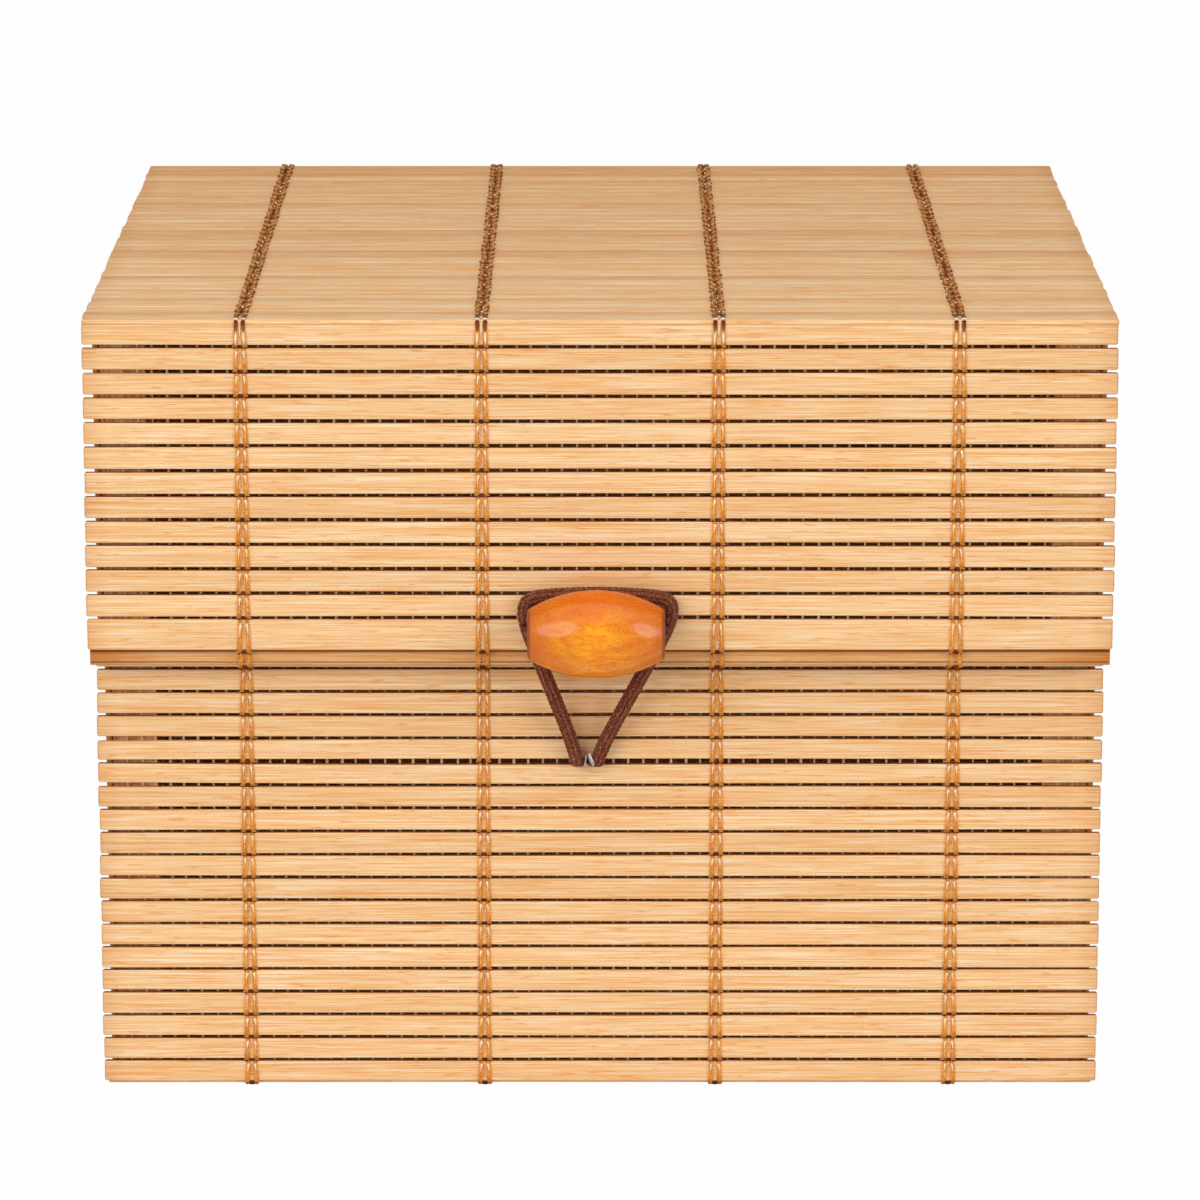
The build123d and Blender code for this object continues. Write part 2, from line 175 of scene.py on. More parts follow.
def bamboo_material():
    """Pale bamboo: fine fibres, orange flecks and a tone per slat, with painted light and shade in
    that tone on the lid's top and the strip, cut ends darker partly as painted shade, and painted
    shade on inner faces and gap edges.
    """
    made = Finish("bamboo")
    grain = made.stored("grain")
    tone, cut_end_and_shade, inside = made.parts(made.stored("finish"))
    fibres = made.noise(grain, (0.055, 4.6, 4.6), detail=5.0, roughness=0.6)
    bands = made.noise(grain, (0.014, 1.0, 1.0), detail=2.0)
    flecks = made.noise(grain, (0.20, 3.2, 3.2), detail=2.0, distortion=0.2)
    fibre_colour = made.ramp(
        fibres, (0.34, rgb(234, 160, 82)), (0.45, rgb(244, 189, 128)),
        (0.54, rgb(250, 211, 160)), (0.65, rgb(255, 236, 204)),
    )
    band_colour = made.ramp(
        bands, (0.35, rgb(241, 182, 126)), (0.50, rgb(248, 206, 156)), (0.66, rgb(252, 218, 170)),
    )
    colour = made.mix(0.26, fibre_colour, band_colour)
    colour = made.spots(colour, flecks, 0.60, 0.70, 0.75, rgb(234, 154, 74))
    # The tone is random per slat, and carries painted light and shade on the lid's top and painted
    # shade on the strip.
    colour = made.tint(tone, colour, (0.80, 0.66, 0.50, 1.0))
    # Cut ends darker, partly their own end colour and partly painted shade on the rounded ends.
    colour = made.tint(cut_end_and_shade, colour, (0.78, 0.54, 0.34, 1.0))
    # Painted shade on inner faces, on edges facing a gap and on the covered strip.
    colour = made.tint(inside, colour, (0.40, 0.24, 0.13, 1.0))
    made.relief(fibres, 0.05, 0.55)
    return made.done(colour, made.ramp(fibres, (0.3, 0.64), (0.7, 0.52)), 0.12)


def wood_material(name, light, dark, length_axis, glue_share):
    """Plain sawn wood with its grain along one axis of the frame, blotched with glue."""
    made = Finish(name)
    place = made.add("TexCoord").outputs["Object"]
    scale = [420.0, 420.0, 420.0]
    scale[length_axis] = 18.0
    grain = made.noise(place, scale, detail=5.0)
    glue = made.noise(place, (620.0,) * 3, detail=3.0, distortion=0.6)
    drops = made.noise(place, (1300.0,) * 3, detail=2.0)
    colour = made.ramp(grain, (0.32, dark), (0.62, light))
    colour = made.spots(colour, glue, 0.46, 0.60, glue_share, rgb(138, 68, 26))
    colour = made.spots(colour, drops, 0.56, 0.64, glue_share, rgb(52, 22, 10))
    made.relief(grain, 0.08, 0.5)
    return made.done(colour, 0.7)


def thread_material():
    """Golden stitching thread, with red-brown parts that are partly painted shade, and painted
    highlights.
    """
    made = Finish("stitch_thread")
    twist = made.noise(made.stored("grain"), (2.2, 2.2, 2.2), detail=3.0)
    brownness_and_shade, painted_highlight, _ = made.parts(made.stored("finish"))
    golden = made.ramp(twist, (0.36, rgb(236, 140, 48)), (0.64, rgb(255, 190, 98)))
    # Brown parts are partly painted shade; cream ones are painted highlights.
    brown = made.ramp(twist, (0.36, rgb(72, 25, 9)), (0.64, rgb(134, 60, 24)))
    highlight_colour = made.ramp(twist, (0.36, rgb(252, 222, 170)), (0.64, rgb(255, 246, 222)))
    return made.done(made.mix(painted_highlight, made.mix(brownness_and_shade, golden, brown), highlight_colour), 0.5, 0.05)


def yarn_material(name, light, dark, roughness, fine_mm=0.3):
    """Spun or woven yarn with a fine fibre texture."""
    made = Finish(name)
    fibres = made.noise(made.stored("grain"), (1 / fine_mm,) * 3, detail=4.0, roughness=0.6)
    shade = made.parts(made.stored("finish"))[X]
    made.relief(fibres, 0.04, 0.6)
    colour = made.mix(shade, made.ramp(fibres, (0.34, dark), (0.64, light)), dark)
    return made.done(colour, roughness, 0.25)


def braid_material():
    """Dark brown braided elastic, with pale flecks and painted shade in the channels between its
    ribs.
    """
    made = Finish("braided_elastic")
    grain = made.stored("grain")
    channel_shade = made.parts(made.stored("finish"))[X]
    fibres = made.noise(grain, (3.4, 3.4, 3.4), detail=4.0, roughness=0.65)
    flecks = made.noise(grain, (4.6, 4.6, 4.6), detail=1.0)
    colour = made.ramp(
        fibres, (0.34, rgb(70, 26, 14)), (0.50, rgb(116, 56, 34)), (0.66, rgb(148, 80, 54)),
    )
    colour = made.spots(colour, flecks, 0.58, 0.66, 0.8, rgb(190, 138, 108))
    made.relief(fibres, 0.06, 0.8)
    return made.done(made.mix(channel_shade, colour, rgb(52, 18, 12)), 0.66, 0.1)


def bead_material():
    """Orange-stained wood under lacquer, with rings round each cheek and darker ends."""
    made = Finish("bead_wood")
    grain = made.stored("grain")
    along, _, up = made.parts(grain)
    outwards = made.number("ABSOLUTE", along)
    shoulder, end_face, _ = made.parts(made.stored("finish"))
    figure = made.noise(grain, (0.16, 0.42, 0.42), detail=3.0, distortion=0.9)
    pores = made.noise(grain, (1.1, 3.0, 3.0), detail=4.0, roughness=0.65, distortion=0.5)
    colour = made.ramp(
        figure, (0.34, rgb(238, 126, 0)), (0.50, rgb(248, 147, 0)), (0.66, rgb(255, 171, 8)),
    )
    height = made.number("MULTIPLY", up, 0.12)
    colour = made.spots(colour, height, 0.30, 0.85, 0.75, rgb(230, 100, 0))
    colour = made.spots(colour, pores, 0.50, 0.62, 0.55, rgb(210, 92, 4))
    ring_out, ring_up, squeeze = 7.4, 2.4, 0.4   # middle of a cheek's rings, in mm
    cheek = made.add("CombineXYZ", {"X": outwards, "Z": up})
    cheek = made.add("Mapping", {
        "Vector": cheek.outputs["Vector"], "Location": (-ring_out * squeeze, 0.0, -ring_up),
        "Scale": (squeeze, 1.0, 1.0),
    })
    rings = made.add("TexWave", {
        "Vector": cheek.outputs["Vector"], "Scale": 0.9, "Distortion": 1.6, "Detail": 2.0,
        "Detail Scale": 1.2,
    }, wave_type="RINGS", rings_direction="SPHERICAL").outputs["Fac"]
    on_cheek = made.ramp(made.number("MULTIPLY", outwards, 0.1), (0.15, 0.0), (0.4, 1.0))
    ring_mask = made.number("MULTIPLY", made.ramp(rings, (0.35, 0.3), (0.75, 0.0)), on_cheek)
    colour = made.mix(ring_mask, colour, rgb(196, 80, 4))
    colour = made.mix(shoulder, colour, rgb(200, 86, 14))
    colour = made.mix(end_face, colour, rgb(142, 66, 30))
    made.relief(pores, 0.05, 0.3)
    lacquer = {"Coat Weight": 1.0, "Coat IOR": 1.4, "Coat Roughness": 0.15}
    return made.done(colour, 0.5, 0.0, **lacquer)


def steel_material():
    """Dull steel, its brown colour a painted reflection of the brown elastic round it."""
    made = Finish("crimp_steel")
    place = made.add("TexCoord").outputs["Object"]
    marks = made.noise(place, (2500.0, 2500.0, 400.0), detail=2.0)
    reflected_brown = made.ramp(marks, (0.3, (0.34, 0.27, 0.24, 1.0)), (0.7, (0.50, 0.42, 0.38, 1.0)))
    return made.done(reflected_brown, 0.28, Metallic=1.0)


# ---- Shapes, gathered into one mesh per piece ----
SHARP_EDGE = 50             # degrees


def place_in_scene(name, data):
    made = bpy.data.objects.new(name, data)
    scene.collection.objects.link(made)
    return made


def channels(first, second=0.0, third=0.0):
    """Finish values per point, from one value or array for each of the three."""
    return np.stack(np.broadcast_arrays(first, second, third), -1)


class Maker:
    """Lofted shapes in mm, with a grain place and finish values per vertex."""

    def __init__(self):
        self.points, self.quads, self.caps = [], [], []
        self.grain, self.finish = [], []
        self.total = 0

    def skin(self, rings, grain, finish, looped=False):
        """A skin over rings of points. grain and finish are one value, or one per point."""
        stations, around = rings.shape[:2]
        index = np.arange(stations * around).reshape(stations, around) + self.total
        rows = np.vstack([index, index[:1]]) if looped else index
        low, high = rows[:-1], rows[1:]
        quads = np.stack([low, np.roll(low, -1, 1), np.roll(high, -1, 1), high], -1)
        self.quads.append(quads.reshape(-1, 4))
        if not looped:
            self.caps += [index[0][::-1].tolist(), index[-1].tolist()]
        self.points.append(rings.reshape(-1, 3))
        self.grain.append(np.broadcast_to(grain, rings.shape).reshape(-1, 3))
        self.finish.append(np.broadcast_to(finish, rings.shape).reshape(-1, 3))
        self.total += stations * around
        return self

    def piece(self, name, material, body, slot, *stands_for):
        mesh = bpy.data.meshes.new(name)
        faces = np.vstack(self.quads).tolist() + self.caps
        mesh.from_pydata((np.vstack(self.points) * MM).tolist(), [], faces)
        for label, values in (("grain", self.grain), ("finish", self.finish)):
            layer = mesh.attributes.new(label, "FLOAT_VECTOR", "POINT")
            layer.data.foreach_set("vector", np.vstack(values).astype(np.float32).ravel())
        editor = bmesh.new()
        editor.from_mesh(mesh)
        bmesh.ops.recalc_face_normals(editor, faces=editor.faces)
        editor.to_mesh(mesh)
        editor.free()
        mesh.shade_smooth()
        mesh.set_sharp_from_angle(angle=math.radians(SHARP_EDGE))
        mesh.materials.append(material)
        made = place_in_scene(name, mesh)
        if body:
            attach(made, body)
        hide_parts(*stands_for)
        return made


def extent(name):
    """Lowest and highest corner of a CAD node, in mm."""
    low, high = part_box(name)
    return np.array(low) / MM, np.array(high) / MM


def solids_of(name):
    """(low, high) corners in mm of each separate solid of a CAD node."""
    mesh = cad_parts[name].data
    points = np.array([v.co for v in mesh.vertices]) / MM
    spots, weld = np.unique(points.round(3), axis=0, return_inverse=True)
    faces = [weld.ravel()[list(face.vertices)] for face in mesh.polygons]
    solid = np.arange(len(spots))
    before = None
    while not np.array_equal(solid, before):
        before = solid.copy()
        for face in faces:
            solid[face] = solid[face].min()
    members = [spots[solid == number] for number in np.unique(solid)]
    boxes = [(inside.min(0), inside.max(0)) for inside in members]
    return sorted(boxes, key=lambda box: tuple((box[0] + box[1]).round(2)))


def axes_by_length(low, high):
    """The axes of a box, from its shortest side to its longest."""
    return sorted((X, Y, Z), key=lambda axis: high[axis] - low[axis])


def spans_of(name, axis):
    """(low, high) of each solid of a CAD node, along one axis."""
    return sorted((low[axis], high[axis]) for low, high in solids_of(name))


def circle(radius, count):
    angle = np.arange(count) * 2 * math.pi / count
    return np.stack([radius * np.cos(angle), radius * np.sin(angle)], -1)


def rounded_rectangle(half_a, half_b, radius):
    """(a, b) points of a rectangle with round corners."""
    corner, step = np.divmod(np.arange(16), 4)
    angle = (corner + step / 3) * math.pi / 2
    a = np.array([1, -1, -1, 1])[corner] * (half_a - radius) + radius * np.cos(angle)
    b = np.array([1, 1, -1, -1])[corner] * (half_b - radius) + radius * np.sin(angle)
    return np.stack([a, b], -1)


def directions(points):
    """Unit directions of a route at its points."""
    slope = np.gradient(points, axis=0)
    return slope / np.linalg.norm(slope, axis=1)[:, None]


def step_lengths(points):
    return np.linalg.norm(np.diff(points, axis=0), axis=1)


def along_route(points, section, twist=0.0, up=(0.0, 0.0, 1.0)):
    """Rings of a section, or of a function of distance, along a route.

    twist is in radians per mm.
    """
    tangent = directions(points)
    travelled = np.concatenate([[0.0], np.cumsum(step_lengths(points))])
    side = np.cross(tangent[0], up)
    rings = []
    for place, direction, distance in zip(points, tangent, travelled):
        side = side - direction * (side @ direction)
        side /= np.linalg.norm(side)
        other = np.cross(direction, side)
        shape = section(distance) if callable(section) else section
        cos, sin = math.cos(twist * distance), math.sin(twist * distance)
        rings.append(place + shape @ [[cos, sin], [-sin, cos]] @ [side, other])
    return np.array(rings)


# ---- Slats ----
CENTRE = (0.0, 11.0, 66.0)  # inside the box
CORNER_OVERLAP = 0.35       # the flap's uppermost slat runs up into the first top slat
WIDE_SLAT_TRIM = 0.2        # off its foot
WIDE_GAP = (60.97, 62.12)   # heights between which the loop comes out of the body
END_BOW = 0.28              # the slats beside that gap bend together at their ends
SLAT_SQUARENESS = 9.0       # 2 gives an oval section, and more a squarer one
SECTION_POINTS = 20
# The dark column darkens the cut ends, partly their own colour and partly painted shade.
END_STEPS = ((0.0, 0.26, 1.0), (0.07, 0.13, 1.0), (0.26, 0.0, 0.3))   # (from the end, inset, dark)
INNER_MARGIN = 4.0          # from the last of those steps to the first inner station
INNER_STATIONS = 11
WOBBLE = 0.075              # how far a slat's edges wander
WOBBLE_CALM = 1.6           # two waves seldom peak at one place
SWELL = 0.04                # how much its width varies
TURN = 6.28                 # nearly a full one, for the waves' phases
# How dark slats are, as mean and spread, where 0 is palest
SLAT_TONE = (0.20, 0.17)
TOP_TONE = (0.25, 0.27)
# Painted light: the front edge slat of the top is palest.
TOP_EDGE_LIGHT = (0.0, 0.05)
# Painted shade: the top darkens towards its back.
TOP_BACK_SHADE = 0.6         # added to the mean at the top's back
# Painted shade on the slats' inner faces and on their edges that face a gap.
INNER_SHADE, INNER_RISE = 0.5, 1.5   # of inner faces
EDGE_START, EDGE_FADE = 0.955, 0.02   # shares of the half width, where facing edges darken
FACE_DEPTH = -0.85          # share of the half thickness, outside which they stay pale
SLAT_MATS = (
    # node, and how unevenly its slats are cut
    ("body_front_slats", 0.16), ("body_back_slats", 0.30), ("body_left_slats", 0.0),
    ("body_right_slats", 0.0), ("body_bottom_slats", 0.35), ("lid_front_slats", 0.14),
    ("lid_wide_slat", 0.0), ("lid_top_slats", 0.20), ("lid_back_slats", 0.30),
    ("lid_left_slats", 0.0), ("lid_right_slats", 0.0),
)


def domed_section(half_thin, half_wide):
    """(thin, wide) points of a box with slightly domed faces and soft edges."""
    unit = circle(1.0, SECTION_POINTS)
    return np.sign(unit) * np.abs(unit).round(9) ** (2 / SLAT_SQUARENESS) * (half_thin, half_wide)


def ripple(waves, place):
    """Sum of sine waves, given as (size, length, phase)."""
    return sum(size * math.sin(place / length + phase) for size, length, phase in waves)


def add_slat(maker, low, high, draw, end_spread, tone_and_shade_range, gaps, bow):
    """One bamboo slat in the box of its CAD solid, a little uneven as real ones are.

    The tone range is the mean and spread of its tone, which on the lid's top carries painted light
    and shade.
    gaps tells whether its low and its high side face another slat of the mat; those edges get
    painted shade.
    bow is how far its ends bend up.
    """
    thin, wide, long = axes_by_length(low, high)
    start = low[long] - draw.uniform(-0.6, 1.0) * end_spread
    end = high[long] + draw.uniform(-0.6, 1.0) * end_spread
    middle = (low + high) / 2
    half = (high - low) / 2
    first = END_STEPS[-1][0] + INNER_MARGIN
    stations = [(start + step, inset) for step, inset, _ in END_STEPS]
    stations += [(start + distance, 0.0)
                 for distance in np.linspace(first, end - start - first, INNER_STATIONS)]
    stations += [(end - step, inset) for step, inset, _ in reversed(END_STEPS)]
    waves = [(draw.uniform(0.3, 1.0) * WOBBLE, draw.uniform(18, 60), draw.uniform(0, TURN))
             for _ in range(2)]
    swell = [(SWELL, draw.uniform(20, 50), draw.uniform(0, TURN)) for _ in range(2)]
    rings = np.zeros((len(stations), SECTION_POINTS, 3))
    for ring, (place, inset) in zip(rings, stations):
        shift = ripple(waves, place) / WOBBLE_CALM
        shift += bow * ((place - middle[long]) / half[long]) ** 2
        section = domed_section(half[thin] - inset, half[wide] - inset + ripple(swell, place))
        ring[:, long] = place
        ring[:, thin] = middle[thin] + section[:, 0]
        ring[:, wide] = middle[wide] + section[:, 1] + shift
    grain = rings[..., [long, wide, thin]] + [draw.uniform(0, 900) for _ in range(3)]
    tone = max(0.0, min(1.0, draw.gauss(*tone_and_shade_range)))
    cut_end_and_shade = np.zeros((len(rings), 1))
    for station, (_, _, dark) in enumerate(END_STEPS):
        cut_end_and_shade[[station, -1 - station]] = dark
    inward = np.sign(CENTRE[thin] - middle[thin])
    depth = (rings[..., thin] - middle[thin]) * inward / half[thin]
    edge = (rings[..., wide] - middle[wide]) / half[wide]
    # Painted shade on the edges that face a gap and on the inner faces.
    facing = np.clip(-edge * gaps[0], 0, 1) + np.clip(edge * gaps[1], 0, 1)
    edge_shade = np.clip((facing - EDGE_START) / EDGE_FADE, 0, 1) * (depth > FACE_DEPTH)
    inside = np.maximum(edge_shade, np.clip(depth * INNER_RISE, 0, 1) * INNER_SHADE)
    maker.skin(rings, grain, channels(tone, cut_end_and_shade, inside))


def near(first, second):
    """1.0 where two places are the same, else 0.0."""
    return 1.0 if abs(first - second) < 0.1 else 0.0


def top_tone_and_shading(back_share):
    """Tone of a slat of the lid's top, with painted light on the front edge slat and painted shade
    growing towards the back.
    """
    if back_share < 0.01:
        return TOP_EDGE_LIGHT
    return TOP_TONE[0] + TOP_BACK_SHADE * back_share ** 4, TOP_TONE[1]


def make_slats(bamboo):
    for seed, (name, spread) in enumerate(SLAT_MATS):
        maker = Maker()
        draw = random.Random(100 + seed)
        mat_low, mat_high = extent(name)
        for low, high in solids_of(name):
            wide = axes_by_length(low, high)[1]
            gaps = (low[wide] > mat_low[wide] + 0.1, high[wide] < mat_high[wide] - 0.1)
            tone_and_shade_range = SLAT_TONE
            bow = 0.0
            if name == "lid_top_slats":
                gaps = (False, False)
                tone_and_shade_range = top_tone_and_shading((low[Y] - mat_low[Y]) / (mat_high[Y] - mat_low[Y]))
            elif name == "lid_front_slats" and not gaps[1]:
                high = high + (0.0, 0.0, CORNER_OVERLAP)
            elif name == "lid_wide_slat":
                low = low + (0.0, 0.0, WIDE_SLAT_TRIM)
            elif name == "body_front_slats":
                bow = END_BOW * (near(high[Z], WIDE_GAP[0]) - near(low[Z], WIDE_GAP[1]))
            add_slat(maker, low, high, draw, spread, tone_and_shade_range, gaps, bow)
        maker.piece("dressed_" + name, bamboo, BODIES[name.split("_")[0]], "bamboo_slat", name)


# The strip's front, as (height over its foot, groove depth, painted shade).
STRIP_FRONT = (
    (0.0, 0.25, 0.6), (0.08, 0.08, 0.0), (0.25, 0.0, 0.0), (0.42, 0.0, 0.1), (0.5, 0.12, 0.8),
    (0.6, 0.14, 0.9), (0.68, 0.02, 0.3), (0.8, 0.0, 0.0), (1.6, 0.0, 0.05), (2.25, 0.0, 0.12),
    (2.42, 0.0, 0.7), (2.6, 0.0, 1.0), (3.7, 0.0, 1.0), (3.86, 0.15, 1.0),
)
# The whole strip takes the darkest tone, as painted shade under the wide slat.
STRIP_SHADE = 1.0
STRIP_STATIONS = 15
STRIP_GRAIN = (310.0, 0.0, 40.0)   # where its grain lies in the bamboo's noise


def make_strip(bamboo):
    """The strip behind the wide slat, grooved along its foot, with painted shade in the groove and
    where the wide slat covers it.
    """
    low, high = extent("lid_inner_strip")
    front = [(low[Y] + depth, low[Z] + height, dark) for height, depth, dark in STRIP_FRONT]
    back = [(high[Y], high[Z] - 0.15, 1.0), (high[Y], low[Z] + 0.2, 0.6)]
    outline = np.array(front + back)
    rings = np.zeros((STRIP_STATIONS, len(outline), 3))
    rings[..., X] = np.linspace(low[X], high[X], STRIP_STATIONS)[:, None]
    rings[..., Y:] = outline[:, :2]
    cut_end_and_shade = np.zeros((STRIP_STATIONS, 1))
    cut_end_and_shade[[0, -1]] = 1.0
    finish = channels(STRIP_SHADE, cut_end_and_shade, outline[:, 2])
    maker = Maker().skin(rings, rings + STRIP_GRAIN, finish)
    maker.piece("dressed_lid_inner_strip", bamboo, "lid", "bamboo_slat", "lid_inner_strip")


# ---- Stitching ----
STITCH_HEIGHT = 4.34        # from gap to gap, as the routes below are given
# Strands on the right of a row's middle: tone (how dark, partly painted shade), painted highlight,
# and their route as (lateral, height over the lower gap, out, half width).
STRANDS = (
    (0.05, 0.0, ((1.0, 0.0, -0.1, 0.13), (1.08, 0.35, 0.16, 0.13), (1.04, 2.0, 0.24, 0.1),
                 (0.96, 3.2, 0.22, 0.1), (0.72, 3.85, 0.18, 0.12), (0.55, 4.34, -0.1, 0.12))),
    (0.02, 0.0, ((0.6, 0.0, -0.1, 0.13), (0.47, 0.45, 0.16, 0.12), (0.35, 2.0, 0.24, 0.1),
                 (0.28, 3.2, 0.22, 0.1), (0.44, 3.85, 0.18, 0.12), (0.75, 4.34, -0.1, 0.12))),
    (0.04, 0.0, ((0.84, 0.0, -0.12, 0.2), (0.79, 0.4, 0.12, 0.28), (0.7, 1.7, 0.18, 0.22),
                 (0.62, 2.9, 0.18, 0.1))),
    (0.0, 0.9, ((0.78, 2.1, 0.16, 0.04), (0.71, 2.7, 0.23, 0.12), (0.64, 3.2, 0.25, 0.2),
                (0.6, 3.5, 0.22, 0.22), (0.58, 3.75, 0.08, 0.13))),
)
HEAD = ((0.28, 3.78, 0.12), (0.58, 3.98, 0.24), (0.92, 3.84, 0.12))
# Knots on the right of a row's middle: lateral place, height, out, size, tone (partly painted shade)
# and painted highlight.
KNOTS = ((0.76, 0.06, 0.02, 0.25, 0.5, 0.0), (0.93, -0.17, 0.12, 0.19, 1.0, 0.0),
         (1.14, 0.04, 0.02, 0.22, 0.45, 0.0))
# Over the flap's upper corner the strands run on to the lid's top, darkened there as painted shade,
# with painted highlights in their pale strands.
CORNER_STRANDS = (
    (0.05, 0.0, ((1.0, 0.0, -0.1, 0.13), (1.08, 0.35, 0.16, 0.12), (1.04, 1.4, 0.24, 0.09),
                 (0.94, 2.8, 0.22, 0.12))),
    (0.02, 0.0, ((0.6, 0.0, -0.1, 0.13), (0.47, 0.45, 0.16, 0.11), (0.36, 1.4, 0.24, 0.09),
                 (0.42, 2.8, 0.22, 0.12))),
    (0.0, 0.0, ((0.84, 0.0, -0.12, 0.2), (0.79, 0.4, 0.12, 0.24), (0.72, 0.9, 0.18, 0.1))),
    (0.0, 1.0, ((0.8, 0.4, 0.14, 0.05), (0.76, 0.9, 0.22, 0.16), (0.7, 1.7, 0.25, 0.21),
                (0.68, 2.5, 0.2, 0.08))),
    (0.75, 0.0, ((0.69, 2.2, 0.1, 0.1), (0.69, 2.8, 0.25, 0.3), (0.68, 3.95, 0.25, 0.34),
                 (0.68, 4.25, 0.1, 0.34))),
    (0.0, 1.0, ((0.06, 1.8, 0.06, 0.05), (0.06, 3.0, 0.12, 0.09), (0.06, 3.9, 0.1, 0.07))),
)
# Over the top's front edge: a dark strand, painted shade, and a strand of painted highlight.
EDGE_STRANDS = (
    (0.85, 0.0, ((0.68, 0.05, 0.02, 0.34), (0.7, 0.6, 0.24, 0.36), (0.74, 2.2, 0.28, 0.34),
                 (0.76, 4.1, 0.12, 0.3))),
    (0.0, 1.0, ((0.02, 0.5, 0.1, 0.06), (0.02, 1.6, 0.18, 0.12), (0.02, 3.2, 0.12, 0.08))),
)
EDGE_KNOTS = ((0.4, 0.08, 0.12, 0.19, 0.0, 1.0), (0.68, 0.02, 0.2, 0.26, 0.0, 1.0),
              (0.96, 0.08, 0.12, 0.19, 0.0, 1.0), (0.68, 4.2, 0.02, 0.36, 1.0, 0.0))
# On the top they are the plain ones with fewer points, and their own strand of painted highlight.
TOP_STRANDS = (
    (0.05, 0.0, STRANDS[0][2][:2] + STRANDS[0][2][3::2]),
    (0.02, 0.0, STRANDS[1][2][:2] + STRANDS[1][2][3::2]),
    (0.0, 0.0, STRANDS[2][2][:2] + STRANDS[2][2][3:]),
    (0.0, 1.0, ((0.74, 2.4, 0.2, 0.1), (0.64, 3.15, 0.25, 0.21), (0.6, 3.9, 0.08, 0.14))),
)
TOP_KNOTS = (
    (0.82, 0.4, 0.12, 0.38, 0.3, 0.0), (0.44, 1.4, 0.2, 0.28, 1.0, 0.0),
    (0.96, 2.3, 0.16, 0.24, 1.0, 1.0), (0.54, 3.3, 0.18, 0.34, 0.45, 0.0),
    (1.0, 3.7, 0.12, 0.26, 1.0, 0.0), (0.06, 0.1, 0.18, 0.28, 1.0, 0.0),
    (0.14, 2.3, 0.18, 0.24, 0.8, 1.0),
)
BRIDGE = ((-0.6, -0.16), (0.0, 0.04), (0.6, -0.16))   # (lateral, out), at the lower gap

# shade is painted shade that darkens the strands, jitter moves bundles and knots sideways, and
# unrest moves knots up and makes them less dark. The last field is the share of knots with painted
# highlights that keep them; the others are brown.
Style = namedtuple("Style", "strands head knots bridge shade jitter unrest pale_share")
PLAIN = Style(STRANDS, HEAD, KNOTS, BRIDGE, 0.0, 0.05, 0.0, 1.0)
CORNER = Style(CORNER_STRANDS, (), KNOTS, BRIDGE, 0.0, 0.05, 0.0, 1.0)
EDGE = Style(EDGE_STRANDS, (), EDGE_KNOTS, (), 0.0, 0.05, 0.0, 1.0)
TOP = Style(TOP_STRANDS, (), TOP_KNOTS, (), 0.66, 0.14, 0.45, 0.3)
LEAN = 0.02                 # how much strands lean, per mm of height
TONE_SPREAD = 0.12          # how much darker a strand may be
HEAD_RADIUS, HEAD_TONE = 0.15, 0.35
# The bridge across the lower gap is painted dark, as shade in the gap.
BRIDGE_RADIUS, BRIDGE_SHADE = 0.27, 1.0
# Painted shade: strands darken towards the gaps.
DIP_SHADE, DIP_REACH = 0.5, 0.8   # strands darken towards the gaps
END_DIP = 0.3               # the outermost stitches dip this far beyond the last slat
# (lateral, as a share of the half width, and out)
STRAND_SECTION = ((1.0, 0.0), (0.55, 0.09), (-0.55, 0.09), (-1.0, 0.0), (0.0, -0.09))
# (lateral, radius), and how flat it is, as shares of a knot's size
KNOT_PROFILE = ((-1.0, 0.2), (-0.55, 0.85), (0.55, 0.85), (1.0, 0.2))
KNOT_FLATNESS = (0.9, 0.85)


class Surface:
    """The outer face of a mat or strip, on the side of it that sign says."""

    def __init__(self, name, lateral, along, out, sign, flat=1.0):
        self.level = extent(name)[sign > 0][out]
        self.axes = (lateral, along, out)
        self.scale = sign * flat
        self.ends = crossing_ends(spans_of(name, along))

    def points(self, middle, values):
        """Points from (lateral, along, out) rows, where middle is a row's lateral place."""
        values = np.asarray(values, float)
        made = np.zeros(values.shape)
        made[:, self.axes[0]] = middle + values[:, 0]
        made[:, self.axes[1]] = values[:, 1]
        made[:, self.axes[2]] = self.level + self.scale * values[:, 2]
        return made


def add_cord_bit(maker, surface, middle, route, radius, finish):
    """A short round length of thread."""
    out = np.zeros(3)
    out[surface.axes[2]] = 1.0
    rings = along_route(surface.points(middle, route), circle(radius, 5), up=out)
    maker.skin(rings, rings, finish)


def add_strand(maker, surface, middle, route, side, low, scale, lean, finish):
    """A flat strand that runs up a slat, wider or thinner along its way."""
    rings = np.array([
        surface.points(middle, [
            (side * (across + lean * height) + wide * a, low + height * scale, out + b)
            for a, b in STRAND_SECTION
        ])
        for across, height, out, wide in route
    ])
    maker.skin(rings, rings, finish)


def add_knot(maker, surface, middle, across, along, out, size, finish):
    """A small round knot on the mat."""
    ring = circle(size, 5) * KNOT_FLATNESS
    rings = np.array([
        surface.points(middle, [(across + size * step, along + a, out + b) for a, b in ring * wide])
        for step, wide in KNOT_PROFILE
    ])
    maker.skin(rings, rings, finish)


def dip_shade(height):
    """Painted shade on a strand towards the gaps, where it dips between the slats."""
    to_gap = max(0.0, min(height, STITCH_HEIGHT - height))
    return DIP_SHADE * max(0.0, 1 - to_gap / DIP_REACH)


